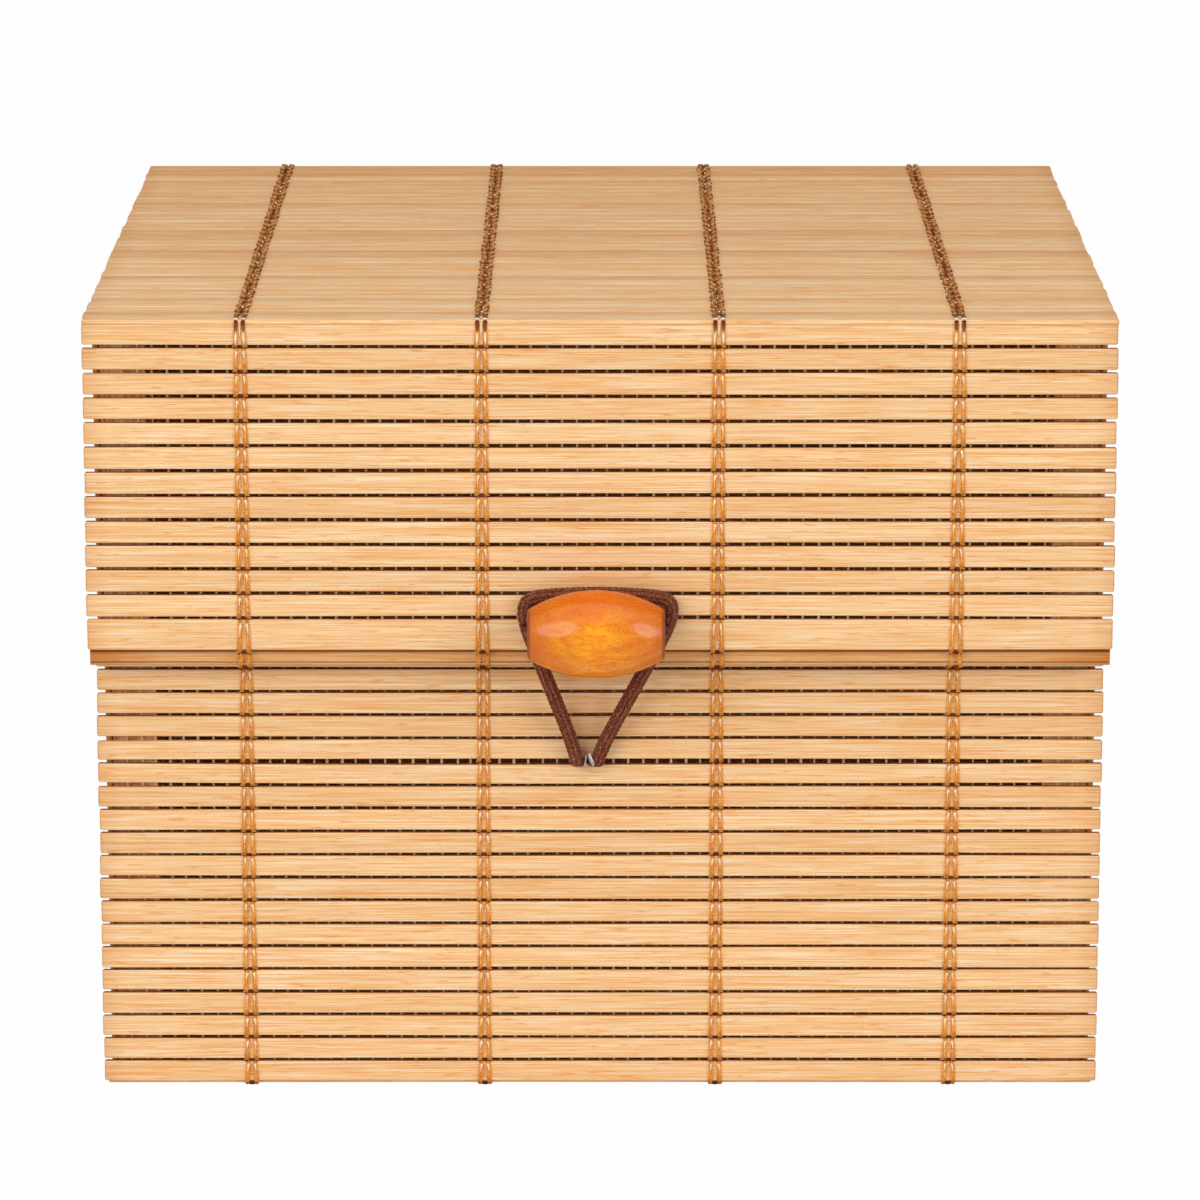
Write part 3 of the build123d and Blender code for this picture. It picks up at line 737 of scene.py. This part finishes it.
def add_crossing(maker, surface, middle, low, high, style, draw):
    """Two bundles of strands over one slat, between the gaps at low and high."""
    scale = (high - low) / STITCH_HEIGHT
    for side in (-1, 1):
        moved = middle + draw.uniform(-0.8, 0.8) * style.jitter
        lean = draw.uniform(-LEAN, LEAN)
        for tone, painted_highlight, route in style.strands:
            # Painted shade from the style and near the gaps; pale is the strand's painted highlight.
            dark = min(1.0, tone + style.shade + draw.uniform(0.0, TONE_SPREAD))
            pale = painted_highlight * (1 - 1.2 * style.shade) * draw.uniform(0.75, 1.0)
            finish = [[(min(1.0, dark + (1 - style.shade) * dip_shade(height)), pale, 0.0)]
                      for _, height, _, _ in route]
            add_strand(maker, surface, moved, route, side, low, scale, lean, finish)
        if style.head:
            head = [(side * across, low + height * scale, out) for across, height, out in style.head]
            add_cord_bit(maker, surface, moved, head, HEAD_RADIUS, (HEAD_TONE, 0.0, 0.0))
        for across, height, out, size, tone, painted_highlight in style.knots:
            size *= draw.uniform(0.85, 1.15)
            across += draw.uniform(-1.0, 1.0) * style.jitter
            height += max(0.0, draw.uniform(-1.0, 1.0) * style.unrest)
            tone *= 1 - draw.uniform(0.0, 1.0) * style.unrest
            # Some knots lose their painted highlight and turn brown.
            if painted_highlight and draw.random() > style.pale_share:
                tone, painted_highlight = 1.0, 0.0
            spot = (side * across, low + height * scale, out)
            add_knot(maker, surface, moved, *spot, size, (tone, painted_highlight, 0.0))
    if style.bridge:
        bridge = [(across, low, out) for across, out in style.bridge]
        add_cord_bit(maker, surface, middle, bridge, BRIDGE_RADIUS, (BRIDGE_SHADE, 0.0, 0.0))


def gap_middles(spans):
    """Middles of the gaps between slats, from the slats' (low, high) along a row."""
    return [(below + above) / 2 for (_, below), (above, _) in pairwise(spans)]


def crossing_ends(spans):
    """Places where stitches dip between slats and beyond the outermost ones."""
    return [spans[0][0] - END_DIP] + gap_middles(spans) + [spans[-1][1] + END_DIP]


def stitch(maker, surface, rows, draw, ends, style=PLAIN):
    """Stitches each row from dip to dip."""
    for middle in rows:
        for low, high in pairwise(ends):
            add_crossing(maker, surface, middle, low, high, style, draw)


def row_places(name, axis):
    """Middles of the thread rows of a CAD node, along one axis."""
    return sorted({round((low + high) / 2, 2) for low, high in spans_of(name, axis)})


def make_stitches(thread):
    draw = random.Random(7)
    rows = row_places("body_front_threads", X)
    for face, along, out, sign, flat in (
        ("body_front", Z, Y, -1, 1.0), ("body_back", Z, Y, 1, 1.0), ("body_bottom", Y, Z, -1, 0.6),
    ):
        maker = Maker()
        surface = Surface(face + "_slats", X, along, out, sign, flat)
        stitch(maker, surface, rows, draw, surface.ends)
        maker.piece("stitches_" + face, thread, "box", "stitch_thread", face + "_threads")

    maker = Maker()
    rows = row_places("lid_mat_threads", X)
    flap = Surface("lid_front_slats", X, Z, Y, -1)
    strip = Surface("lid_inner_strip", X, Z, Y, -1)
    top = Surface("lid_top_slats", X, Y, Z, 1)
    back = Surface("lid_back_slats", X, Z, Y, 1)
    top_low, top_high = extent("lid_top_slats")
    flap_ends = crossing_ends(spans_of("lid_wide_slat", Z) + spans_of("lid_front_slats", Z))
    stitch(maker, flap, rows, draw, flap_ends[:-1])
    stitch(maker, flap, rows, draw, [flap_ends[-2], top_high[Z]], CORNER)
    stitch(maker, strip, rows, draw, strip.ends)
    stitch(maker, top, rows, draw, [top_low[Y], top.ends[1]], EDGE)
    stitch(maker, top, rows, draw, top.ends[1:], TOP)
    back_spans = spans_of("lid_back_slats", Z) + [(top_low[Z], top_high[Z])]
    stitch(maker, back, rows, draw, crossing_ends(back_spans))
    maker.piece("stitches_lid", thread, "lid", "stitch_thread", "lid_mat_threads")

    for part, body in BODIES.items():
        maker = Maker()
        threads = part + "_side_threads"
        rows = row_places(threads, Y)
        for surface in (Surface(part + "_left_slats", Y, Z, X, -1),
                        Surface(part + "_right_slats", Y, Z, X, 1)):
            stitch(maker, surface, rows, draw, surface.ends)
        maker.piece("stitches_" + part + "_sides", thread, body, "stitch_thread", threads)


# ---- Gauze: an open net of yarns glued behind the slats ----
BODY_PITCH = 2.6            # from yarn to yarn
LID_PITCH = 2.7
GAUZE_INSET = 0.1           # middle of the gauze, from the face of its slats
YARN_HALF_WIDTH = 0.20
YARN_HALF_THICKNESS = 0.085
YARN_WANDER = 0.12
YARN_STEP = 14              # from point to point
GAP_HALF_WIDTH = 0.52       # yarns that cover the gaps of the back walls
GAP_YARN_RISE = 0.16


def add_yarn(maker, corners, flat_axis, draw, half_width=YARN_HALF_WIDTH):
    """A flat yarn along a route of corners, wandering a little along flat_axis."""
    points = []
    for start, end in pairwise(np.array(corners)):
        count = max(2, int(np.linalg.norm(end - start) / YARN_STEP))
        points += [start + (end - start) * step / count for step in range(count)]
    points = np.array(points + [corners[-1]])
    points[:, flat_axis] += [draw.uniform(-YARN_WANDER, YARN_WANDER) for _ in points]
    across = np.zeros(3)
    across[flat_axis] = 1.0
    wide = half_width * draw.uniform(0.75, 1.25) * across
    thick = YARN_HALF_THICKNESS * np.cross(directions(points), across)
    rings = np.stack([points + wide, points + thick, points - wide, points - thick], 1)
    maker.skin(rings, rings, (draw.uniform(0.0, 0.9), 0.0, 0.0))


def places_between(low, high, pitch, draw):
    count = int((high - low) / pitch)
    first = (low + high - (count - 1) * pitch) / 2
    return [first + row * pitch + draw.uniform(-YARN_WANDER, YARN_WANDER) for row in range(count)]


def behind_slats(name, axis):
    """(place, half width) of yarns along a mat: two behind each slat."""
    return [(low + (high - low) * share, YARN_HALF_WIDTH)
            for low, high in spans_of(name, axis) for share in (0.25, 0.75)]


def over_gaps(name, axis):
    """(place, half width) of yarns along a mat: one over each gap, then one behind each slat."""
    spans = spans_of(name, axis)
    gaps = [(middle + GAP_YARN_RISE, GAP_HALF_WIDTH) for middle in gap_middles(spans)]
    return gaps + [((low + high) / 2, YARN_HALF_WIDTH) for low, high in spans]


def folded_net(part, gauze, pitch, up, flat_slats):
    """A net with yarns both ways, over a part's front, its flat side and its back.

    up is 1 where the flat side is the top, and 0 where it is the bottom.
    """
    name, node_name = "net_" + part, part + "_mat_gauze"
    front_slats, back_slats = part + "_front_slats", part + "_back_slats"
    ends = low, high = extent(node_name)
    fold = ends[up][Z] + (GAUZE_INSET, -GAUZE_INSET)[up]
    front, back = low[Y] + GAUZE_INSET, high[Y] - GAUZE_INSET
    corners = [
        (front, ends[1 - up][Z]), (front, fold), (back, fold), (back, extent(back_slats)[1 - up][Z]),
    ]
    maker = Maker()
    draw = random.Random(len(name))
    for x in places_between(-high[X], high[X], pitch, draw):
        add_yarn(maker, [(x, y, z) for y, z in corners], X, draw)
    for along, spot, places in (
        (Z, front, behind_slats(front_slats, Z)), (Y, fold, behind_slats(flat_slats, Y)),
        (Z, back, over_gaps(back_slats, Z)),
    ):
        for place, half_width in places:
            y, z = (spot, place) if along == Z else (place, spot)
            add_yarn(maker, [(-high[X], y, z), (high[X], y, z)], along, draw, half_width)
    maker.piece(name, gauze, BODIES[part], "gauze", node_name)


def side_net(part, gauze, pitch):
    name, node_name = "net_" + part + "_sides", part + "_side_gauze"
    maker = Maker()
    draw = random.Random(len(name))
    for low, high in solids_of(node_name):
        x = (low[X] + high[X]) / 2
        for y in places_between(low[Y], high[Y], pitch, draw):
            add_yarn(maker, [(x, y, low[Z]), (x, y, high[Z])], Y, draw)
        for z in places_between(low[Z], high[Z], pitch, draw):
            add_yarn(maker, [(x, low[Y], z), (x, high[Y], z)], Z, draw)
    maker.piece(name, gauze, BODIES[part], "gauze", node_name)


# ---- Hinge tape ----
TAPE_COLUMNS, TAPE_ROWS = 348, 41
TAPE_RIB = 0.05             # height of its weave
TAPE_SHADE = 0.25


def make_hinge_tape(cloth):
    """One woven tape over the fold, from the box to the lid."""
    low = extent("hinge_tape_lower")[0]
    high = extent("hinge_tape_upper")[1]
    columns, rows = np.meshgrid(np.arange(TAPE_COLUMNS), np.arange(TAPE_ROWS))
    weave = TAPE_RIB * np.where((columns + rows) % 2, 1, -1)
    grid_x, grid_z = np.meshgrid(
        np.linspace(low[X], high[X], TAPE_COLUMNS), np.linspace(low[Z], high[Z], TAPE_ROWS)
    )
    front = np.stack([grid_x, high[Y] - TAPE_RIB + weave, grid_z], -1)
    back = np.stack([grid_x, low[Y] + TAPE_RIB - weave * 0.5, grid_z], -1)
    rings = np.concatenate([front, back[::-1]], 0).transpose(1, 0, 2)
    tape = Maker().skin(rings, rings, (TAPE_SHADE, 0.0, 0.0)).piece(
        "hinge_tape", cloth, None, "hinge_tape", "hinge_tape_lower", "hinge_tape_upper"
    )
    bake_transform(tape)


# ---- Bead ----
BEAD_POINTS = 96
BEAD_END_DIAMETER = 8.7
BEAD_BORE = 2.4
BORE_EASE = 0.15
BELLY_INSET = 0.30          # from the bead's end to its belly
BELLY_STATIONS = 61
RIM = ((0.0, 0.5), (0.04, 0.25), (0.13, 0.04))   # (from the end, below the end's radius)
SHOULDER_START, SHOULDER_POWER, SHOULDER_DARK = 0.25, 1.6, 0.8   # how it darkens along it
END_FACE_START, END_FACE_FADE = 0.955, 0.012


def make_bead(lacquered):
    """Barrel turned about X, with eased rims and a bore."""
    low, high = extent("bead")
    middle = (low + high) / 2
    half, radius = (high[X] - low[X]) / 2, (high[Z] - low[Z]) / 2
    end = BEAD_END_DIAMETER / 2
    arc_radius = (half ** 2 + (radius - end) ** 2) / (2 * (radius - end))
    belly_x = np.linspace(-half + BELLY_INSET, half - BELLY_INSET, BELLY_STATIONS)
    belly = [(x, radius - arc_radius + math.sqrt(arc_radius ** 2 - x * x)) for x in belly_x]
    rim = [(-half + inset, end - drop) for inset, drop in RIM]
    bore = BEAD_BORE / 2
    mouth = [(-half + BORE_EASE, bore), (-half, bore + BORE_EASE)]
    left = mouth + rim
    right = [(-x, r) for x, r in reversed(left)]
    rings = np.array([
        np.column_stack([np.full(BEAD_POINTS, x), circle(r, BEAD_POINTS)])
        for x, r in left + belly + right + [(0.0, bore)]
    ])
    reach = np.abs(rings[..., X]) / half
    shoulder = np.clip((reach - SHOULDER_START) / (1 - SHOULDER_START), 0, 1) ** SHOULDER_POWER
    end_face = np.clip((reach - END_FACE_START) / END_FACE_FADE, 0, 1)
    finish = channels(shoulder * SHOULDER_DARK, end_face)
    maker = Maker().skin(rings + middle, rings, finish, looped=True)
    maker.piece("barrel_bead", lacquered, "bead", "bead_wood", "bead")


# ---- The elastic, and the bead's cord ----
SPLINE_FINENESS = 256
LOOP_RADIUS = 1.25
LOOP_STEP = 0.13            # from point to point along the line
LOOP_POINTS = (
    (-0.00410, -0.07285, 0.06110),   # left foot
    (-0.00430, -0.07285, 0.06380),   # lead
    (-0.00931, -0.07684, 0.07775),
    (-0.01140, -0.07850, 0.08357),   # knee
    (-0.01365, -0.07835, 0.08965),   # hip
    (-0.01345, -0.07835, 0.09330),   # shoulder
    (-0.00970, -0.07835, 0.09415),   # brow
    (-0.00070, -0.07835, 0.09450),   # crown
    (0.00860, -0.07835, 0.09415),
    (0.01290, -0.07835, 0.09330),
    (0.01280, -0.07835, 0.08965),
    (0.00975, -0.07850, 0.08357),
    (0.00679, -0.07682, 0.07768),
    (-0.00020, -0.07285, 0.06380),
    (-0.00075, -0.07285, 0.06110),   # right foot
)
TAIL_INSET, TAIL_STATIONS = 0.15, 60   # the inset is at the front
BRAID_POINTS = 48
BRAID_RIBS = 8
PLAIT_HEIGHT, PLAIT_PITCH, PLAIT_SLOPE = 0.05, 0.95, 2.5
FUZZ = 0.02
NOSE_TIP = 0.25             # how narrow the braid's ends get, as a share
CORD_RADIUS = 0.3
CORD_STEP = 0.12
CORD_TWIST = 3.2            # radians per mm
CORD_PLIES, CORD_SIDES = 3, 12
CORD_GROOVE = 0.22          # depth between its plies, as a share of its radius
CORD_SHADE, KNOT_SHADE = 0.2, 0.3
CORD_POINTS = (
    (0.00056, -0.07430, 0.08965),    # right side of the knot, inside the flap
    (0.00920, -0.07430, 0.08965),
    (0.00920, -0.07960, 0.08965),
    (0.01260, -0.08170, 0.08965),
    (0.01240, -0.08630, 0.08965),    # past the bead's right end
    (0.00800, -0.08630, 0.08965),
    (-0.00940, -0.08630, 0.08965),
    (-0.01380, -0.08630, 0.08965),
    (-0.01400, -0.08170, 0.08965),
    (-0.01060, -0.07960, 0.08965),
    (-0.01060, -0.07430, 0.08965),
    (-0.00196, -0.07430, 0.08965),   # left side of the knot
)
KNOT_TURNS = 7
KNOT_YARN_RADIUS = 0.42
KNOT_INSET = 0.4            # from the knot's outside to the middle of its yarn


def spline_route(name, points, step):
    """Points in mm along a cord's own smooth line, laid by given points in metres."""
    curve = bpy.data.curves.new(name, "CURVE")
    curve.dimensions = "3D"
    curve.resolution_u = SPLINE_FINENESS
    spline = curve.splines.new("NURBS")
    spline.points.add(len(points) - 1)
    for control, point in zip(spline.points, points):
        control.co = (*point, 1.0)
    spline.order_u = 3
    spline.use_endpoint_u = True
    carrier = bpy.data.objects.new(name, curve)
    line = bpy.data.meshes.new_from_object(carrier)
    read = [np.array(vertex.co) / MM for vertex in line.vertices]
    bpy.data.objects.remove(carrier)
    bpy.data.curves.remove(curve)
    bpy.data.meshes.remove(line)
    kept = [read[0]]
    for point in read[1:-1]:
        if np.linalg.norm(point - kept[-1]) >= step:
            kept.append(point)
    return np.array(kept + [read[-1]])


def braid_rings(path, half_a, half_b, depth, nose, up, draw):
    """A braided elastic along a path: ribs, sloping plaits, fuzz and rounded ends.

    Gives its rings, and a finish of painted shade in the channels between the ribs.
    """
    unit = circle(1.0, BRAID_POINTS)
    wave = np.sin(np.arange(BRAID_POINTS) * math.pi * BRAID_RIBS / BRAID_POINTS)
    rib = np.abs(wave)
    lean = np.where(wave > 0, 1, -1) * (rib + 0.6) * PLAIT_SLOPE
    length = step_lengths(path).sum()

    def section(distance):
        from_end = min(1.0, min(distance, length - distance) / nose)
        narrow = math.sqrt(1 - (1 - from_end) ** 2) * (1 - NOSE_TIP) + NOSE_TIP
        plait = PLAIT_HEIGHT * np.sin(2 * math.pi * distance / PLAIT_PITCH + lean)
        fuzz = draw.normal(0.0, FUZZ, BRAID_POINTS)
        scale = (1 + (depth * (rib - 0.6) + plait * rib + fuzz) / half_a) * narrow
        return unit * (half_a, half_b) * scale[:, None]

    rings = along_route(path, section, up=up)
    wander = draw.uniform(0.55, 1.25, rings.shape[:2])
    return rings, channels(np.clip((1.0 - rib * 1.7) * wander, 0, 1))


def make_elastic(elastic):
    draw = np.random.default_rng(5)
    route = spline_route("loop_line", LOOP_POINTS, LOOP_STEP)
    rings, finish = braid_rings(
        route, LOOP_RADIUS, LOOP_RADIUS, 0.12, nose=0.9, up=(0.0, 1.0, 0.0), draw=draw
    )
    maker = Maker().skin(rings, rings, finish)
    loop = maker.piece("elastic_loop", elastic, "loop", "elastic", "closure_loop")
    maker = Maker()
    for low, high in solids_of("loop_tails"):
        middle, half = (low + high) / 2, (high - low) / 2
        path = np.tile(middle, (TAIL_STATIONS, 1))
        path[:, Y] = np.linspace(low[Y] + TAIL_INSET, high[Y], TAIL_STATIONS)
        rings, finish = braid_rings(
            path, half[X], half[Z], 0.06, nose=1.0, up=(0.0, 0.0, 1.0), draw=draw
        )
        maker.skin(rings, rings, finish)
    maker.piece("elastic_tails", elastic, "box", "elastic", "loop_tails")


def make_bead_cord(cord):
    route = spline_route("cord_line", CORD_POINTS, CORD_STEP)
    between = np.abs(np.sin(np.arange(CORD_SIDES) * math.pi * CORD_PLIES / CORD_SIDES))
    lobes = circle(CORD_RADIUS, CORD_SIDES) * (1 - CORD_GROOVE * between)[:, None]
    rings = along_route(route, lobes, twist=CORD_TWIST)
    maker = Maker().skin(rings, rings, (CORD_SHADE, 0.0, 0.0))
    twisted = maker.piece("twisted_cord", cord, "lid", "bead_cord", "bead_cord")
    low, high = extent("bead_cord_knot")
    turns = np.linspace(0, 2 * math.pi * KNOT_TURNS, 240)
    slow = turns / (2 * KNOT_TURNS)
    ball = np.stack([np.cos(turns) * np.sin(slow), np.sin(turns) * np.sin(slow), np.cos(slow)], -1)
    wrap = (low + high) / 2 + ((high[X] - low[X]) / 2 - KNOT_INSET) * ball
    rings = along_route(wrap, circle(KNOT_YARN_RADIUS, 7))
    maker = Maker().skin(rings, rings, (KNOT_SHADE, 0.0, 0.0))
    maker.piece("cord_knot", cord, "lid", "bead_cord", "bead_cord_knot")


# ---- Crimp: a band round the tails, a stem out through the gap, two bent tips ----
CRIMP_WALL = 0.4
CRIMP_LENGTH = 2.2
CRIMP_CORNER, CRIMP_INNER_CORNER = 0.42, 0.10
STEM_HALF_WIDTH = 0.15
STEM_HALF_HEIGHT = 0.25
STEM_CORNER = 0.12
TIP_PROUD = 2.5             # tips stand this far ahead of the body's front
TIP_BULGE = 0.12
TIP_POINTS = 10
# Tips as (across, height over the tails' underside, half width), from top to foot.
TIPS = (
    ((-0.06, 2.45, 0.04), (-0.12, 1.85, 0.11), (-0.22, 1.15, 0.14), (-0.34, 0.50, 0.15),
     (-0.42, 0.05, 0.06)),
    ((0.42, 2.75, 0.05), (0.60, 2.20, 0.30), (0.84, 1.45, 0.47), (1.06, 0.80, 0.42),
     (1.22, 0.25, 0.12)),
)


def upright_ring(outline, middle, y):
    """A ring of (x, z) points round a middle, all at one y."""
    ring = np.full((len(outline), 3), y)
    ring[:, [X, Z]] = outline + (middle[X], middle[Z])
    return ring


def make_crimp(steel):
    low, high = extent("loop_crimp")
    tails_low, tails_high = extent("loop_tails")
    middle = ((low[X] + high[X]) / 2, 0.0, (tails_low[Z] + tails_high[Z]) / 2)
    half_x = (high[X] - low[X]) / 2
    half_z = (tails_high[Z] - tails_low[Z]) / 2 + CRIMP_WALL
    back, front = high[Y], high[Y] - CRIMP_LENGTH
    body_front = extent("body_front_slats")[0][Y]
    maker = Maker()
    outer = rounded_rectangle(half_x, half_z, CRIMP_CORNER)
    inner = rounded_rectangle(half_x - CRIMP_WALL, half_z - CRIMP_WALL, CRIMP_INNER_CORNER)
    rings = np.array([
        upright_ring(outline, middle, y)
        for outline, y in ((outer, front), (outer, back), (inner, back), (inner, front))
    ])
    maker.skin(rings, rings, 0.0, looped=True)
    stem = rounded_rectangle(STEM_HALF_WIDTH, STEM_HALF_HEIGHT, STEM_CORNER)
    # It runs from behind the tips to the band.
    stem_ys = (body_front - TIP_PROUD + 0.4, body_front - 1.2, body_front, front - 0.1)
    rings = np.array([upright_ring(stem, middle, y) for y in stem_ys])
    maker.skin(rings, rings, 0.0)
    for tip in TIPS:
        rings = []
        for across, height, half_width in tip:
            bulge = TIP_BULGE * math.sin(math.pi * height / tip[0][1])
            foot = (middle[X] + across, body_front - TIP_PROUD - bulge, tails_low[Z] + height)
            a, b = circle(half_width, TIP_POINTS).T
            rings.append(np.stack([a, 0.55 * b, -0.3 * a], -1) + foot)
        rings = np.array(rings)
        maker.skin(rings, rings, 0.0)
    maker.piece("crimp", steel, "box", "crimp_steel", "loop_crimp")


# ---- Wood frame, kept from the CAD ----
def paint(piece, material):
    piece.data.materials.clear()
    piece.data.materials.append(material)


def paint_frame():
    """The board, then the rails and posts, whose grain runs along them."""
    board = wood_material("board_wood", rgb(226, 186, 136), rgb(204, 158, 106), X, 0.3)
    paint(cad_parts["bottom_board"], board)
    light, dark = rgb(226, 168, 108), rgb(176, 112, 62)
    grains = [wood_material("frame_wood_" + "xyz"[axis], light, dark, axis, 0.4)
              for axis in (X, Y, Z)]
    for name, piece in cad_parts.items():
        if "_rail_" in name or "_post_" in name:
            paint(piece, grains[axes_by_length(*extent(name))[-1]])


# ---- Floor, light and camera, in metres ----
FLOOR_HALF = 40.0
FLOOR_WHITE_SHARE = 0.975   # the rest shows the shadow
AMBIENT = 0.30
LAMP_TARGET = (0.0, -0.05, 0.08)
LAMPS = (
    # name, place, size, power
    ("left_softbox", (-0.95, -1.25, 0.75), (1.15, 1.25), 12.2),
    ("right_softbox", (1.15, -1.05, 0.62), (0.7, 1.15), 8.1),
    ("top_softbox", (0.0, -0.55, 1.6), (2.4, 1.8), 7.3),
)
CAMERA_AHEAD = 1.0462       # from the flap's front
CAMERA_HEIGHT = 0.34106
CAMERA_PITCH = 13.34
CAMERA_LENS = 180.0


def make_floor():
    """A wide pale floor that looks white to the camera and still takes the shadow."""
    mesh = bpy.data.meshes.new("floor")
    corners = [(FLOOR_HALF * x, FLOOR_HALF * y, 0) for x, y in ((-1, -1), (1, -1), (1, 1), (-1, 1))]
    mesh.from_pydata(corners, [], [(0, 1, 2, 3)])
    place_in_scene("floor", mesh)
    made = Finish("floor")
    mesh.materials.append(made.done((0.82, 0.82, 0.82, 1.0), 0.9, 0.0))
    made.whiten(
        made.shader, "Emission", ("Is Camera Ray", "Is Glossy Ray"), FLOOR_WHITE_SHARE,
        "Material Output",
    )


def make_world():
    world = bpy.data.worlds.new("studio")
    scene.world = world
    world.use_nodes = True
    made = Nodes(world.node_tree)
    plain = made.tree.nodes["Background"]
    made.feed(plain, {"Color": WHITE, "Strength": AMBIENT})
    made.whiten(
        plain, "Background", ("Is Camera Ray", "Is Glossy Ray", "Is Transmission Ray"), 1.0,
        "World Output",
    )


def make_lights():
    for name, place, size, power in LAMPS:
        light = bpy.data.lights.new(name, "AREA")
        light.shape = "ELLIPSE"
        light.size, light.size_y = size
        light.energy = power
        lamp = place_in_scene(name, light)
        lamp.location = place
        direction = Vector(LAMP_TARGET) - Vector(place)
        lamp.rotation_euler = direction.to_track_quat("-Z", "Y").to_euler()


def make_camera():
    data = bpy.data.cameras.new("camera")
    data.lens = CAMERA_LENS
    data.sensor_width = 36.0
    data.clip_start, data.clip_end = 0.05, 200.0
    camera = place_in_scene("camera", data)
    flap = extent("lid_wide_slat")[0][Y] * MM
    camera.location = (0.0, flap - CAMERA_AHEAD, CAMERA_HEIGHT)
    camera.rotation_euler = (math.radians(90 - CAMERA_PITCH), 0.0, 0.0)
    scene.camera = camera


scene.view_settings.view_transform = "Standard"
make_camera()
make_floor()
make_world()
make_lights()
make_elastic(braid_material())
make_bead_cord(yarn_material("cord_yarn", rgb(118, 64, 46), rgb(66, 30, 20), 0.6, 0.2))
bamboo = bamboo_material()
make_slats(bamboo)
make_strip(bamboo)
make_stitches(thread_material())
gauze = yarn_material("gauze_yarn", rgb(255, 228, 188), rgb(222, 158, 96), 0.85)
folded_net("body", gauze, BODY_PITCH, 0, "body_bottom_slats")
folded_net("lid", gauze, LID_PITCH, 1, "lid_top_slats")
side_net("body", gauze, BODY_PITCH)
side_net("lid", gauze, LID_PITCH)
make_hinge_tape(yarn_material("tape_cloth", rgb(206, 160, 108), rgb(150, 100, 56), 0.85))
make_bead(bead_material())
make_crimp(steel_material())
paint_frame()
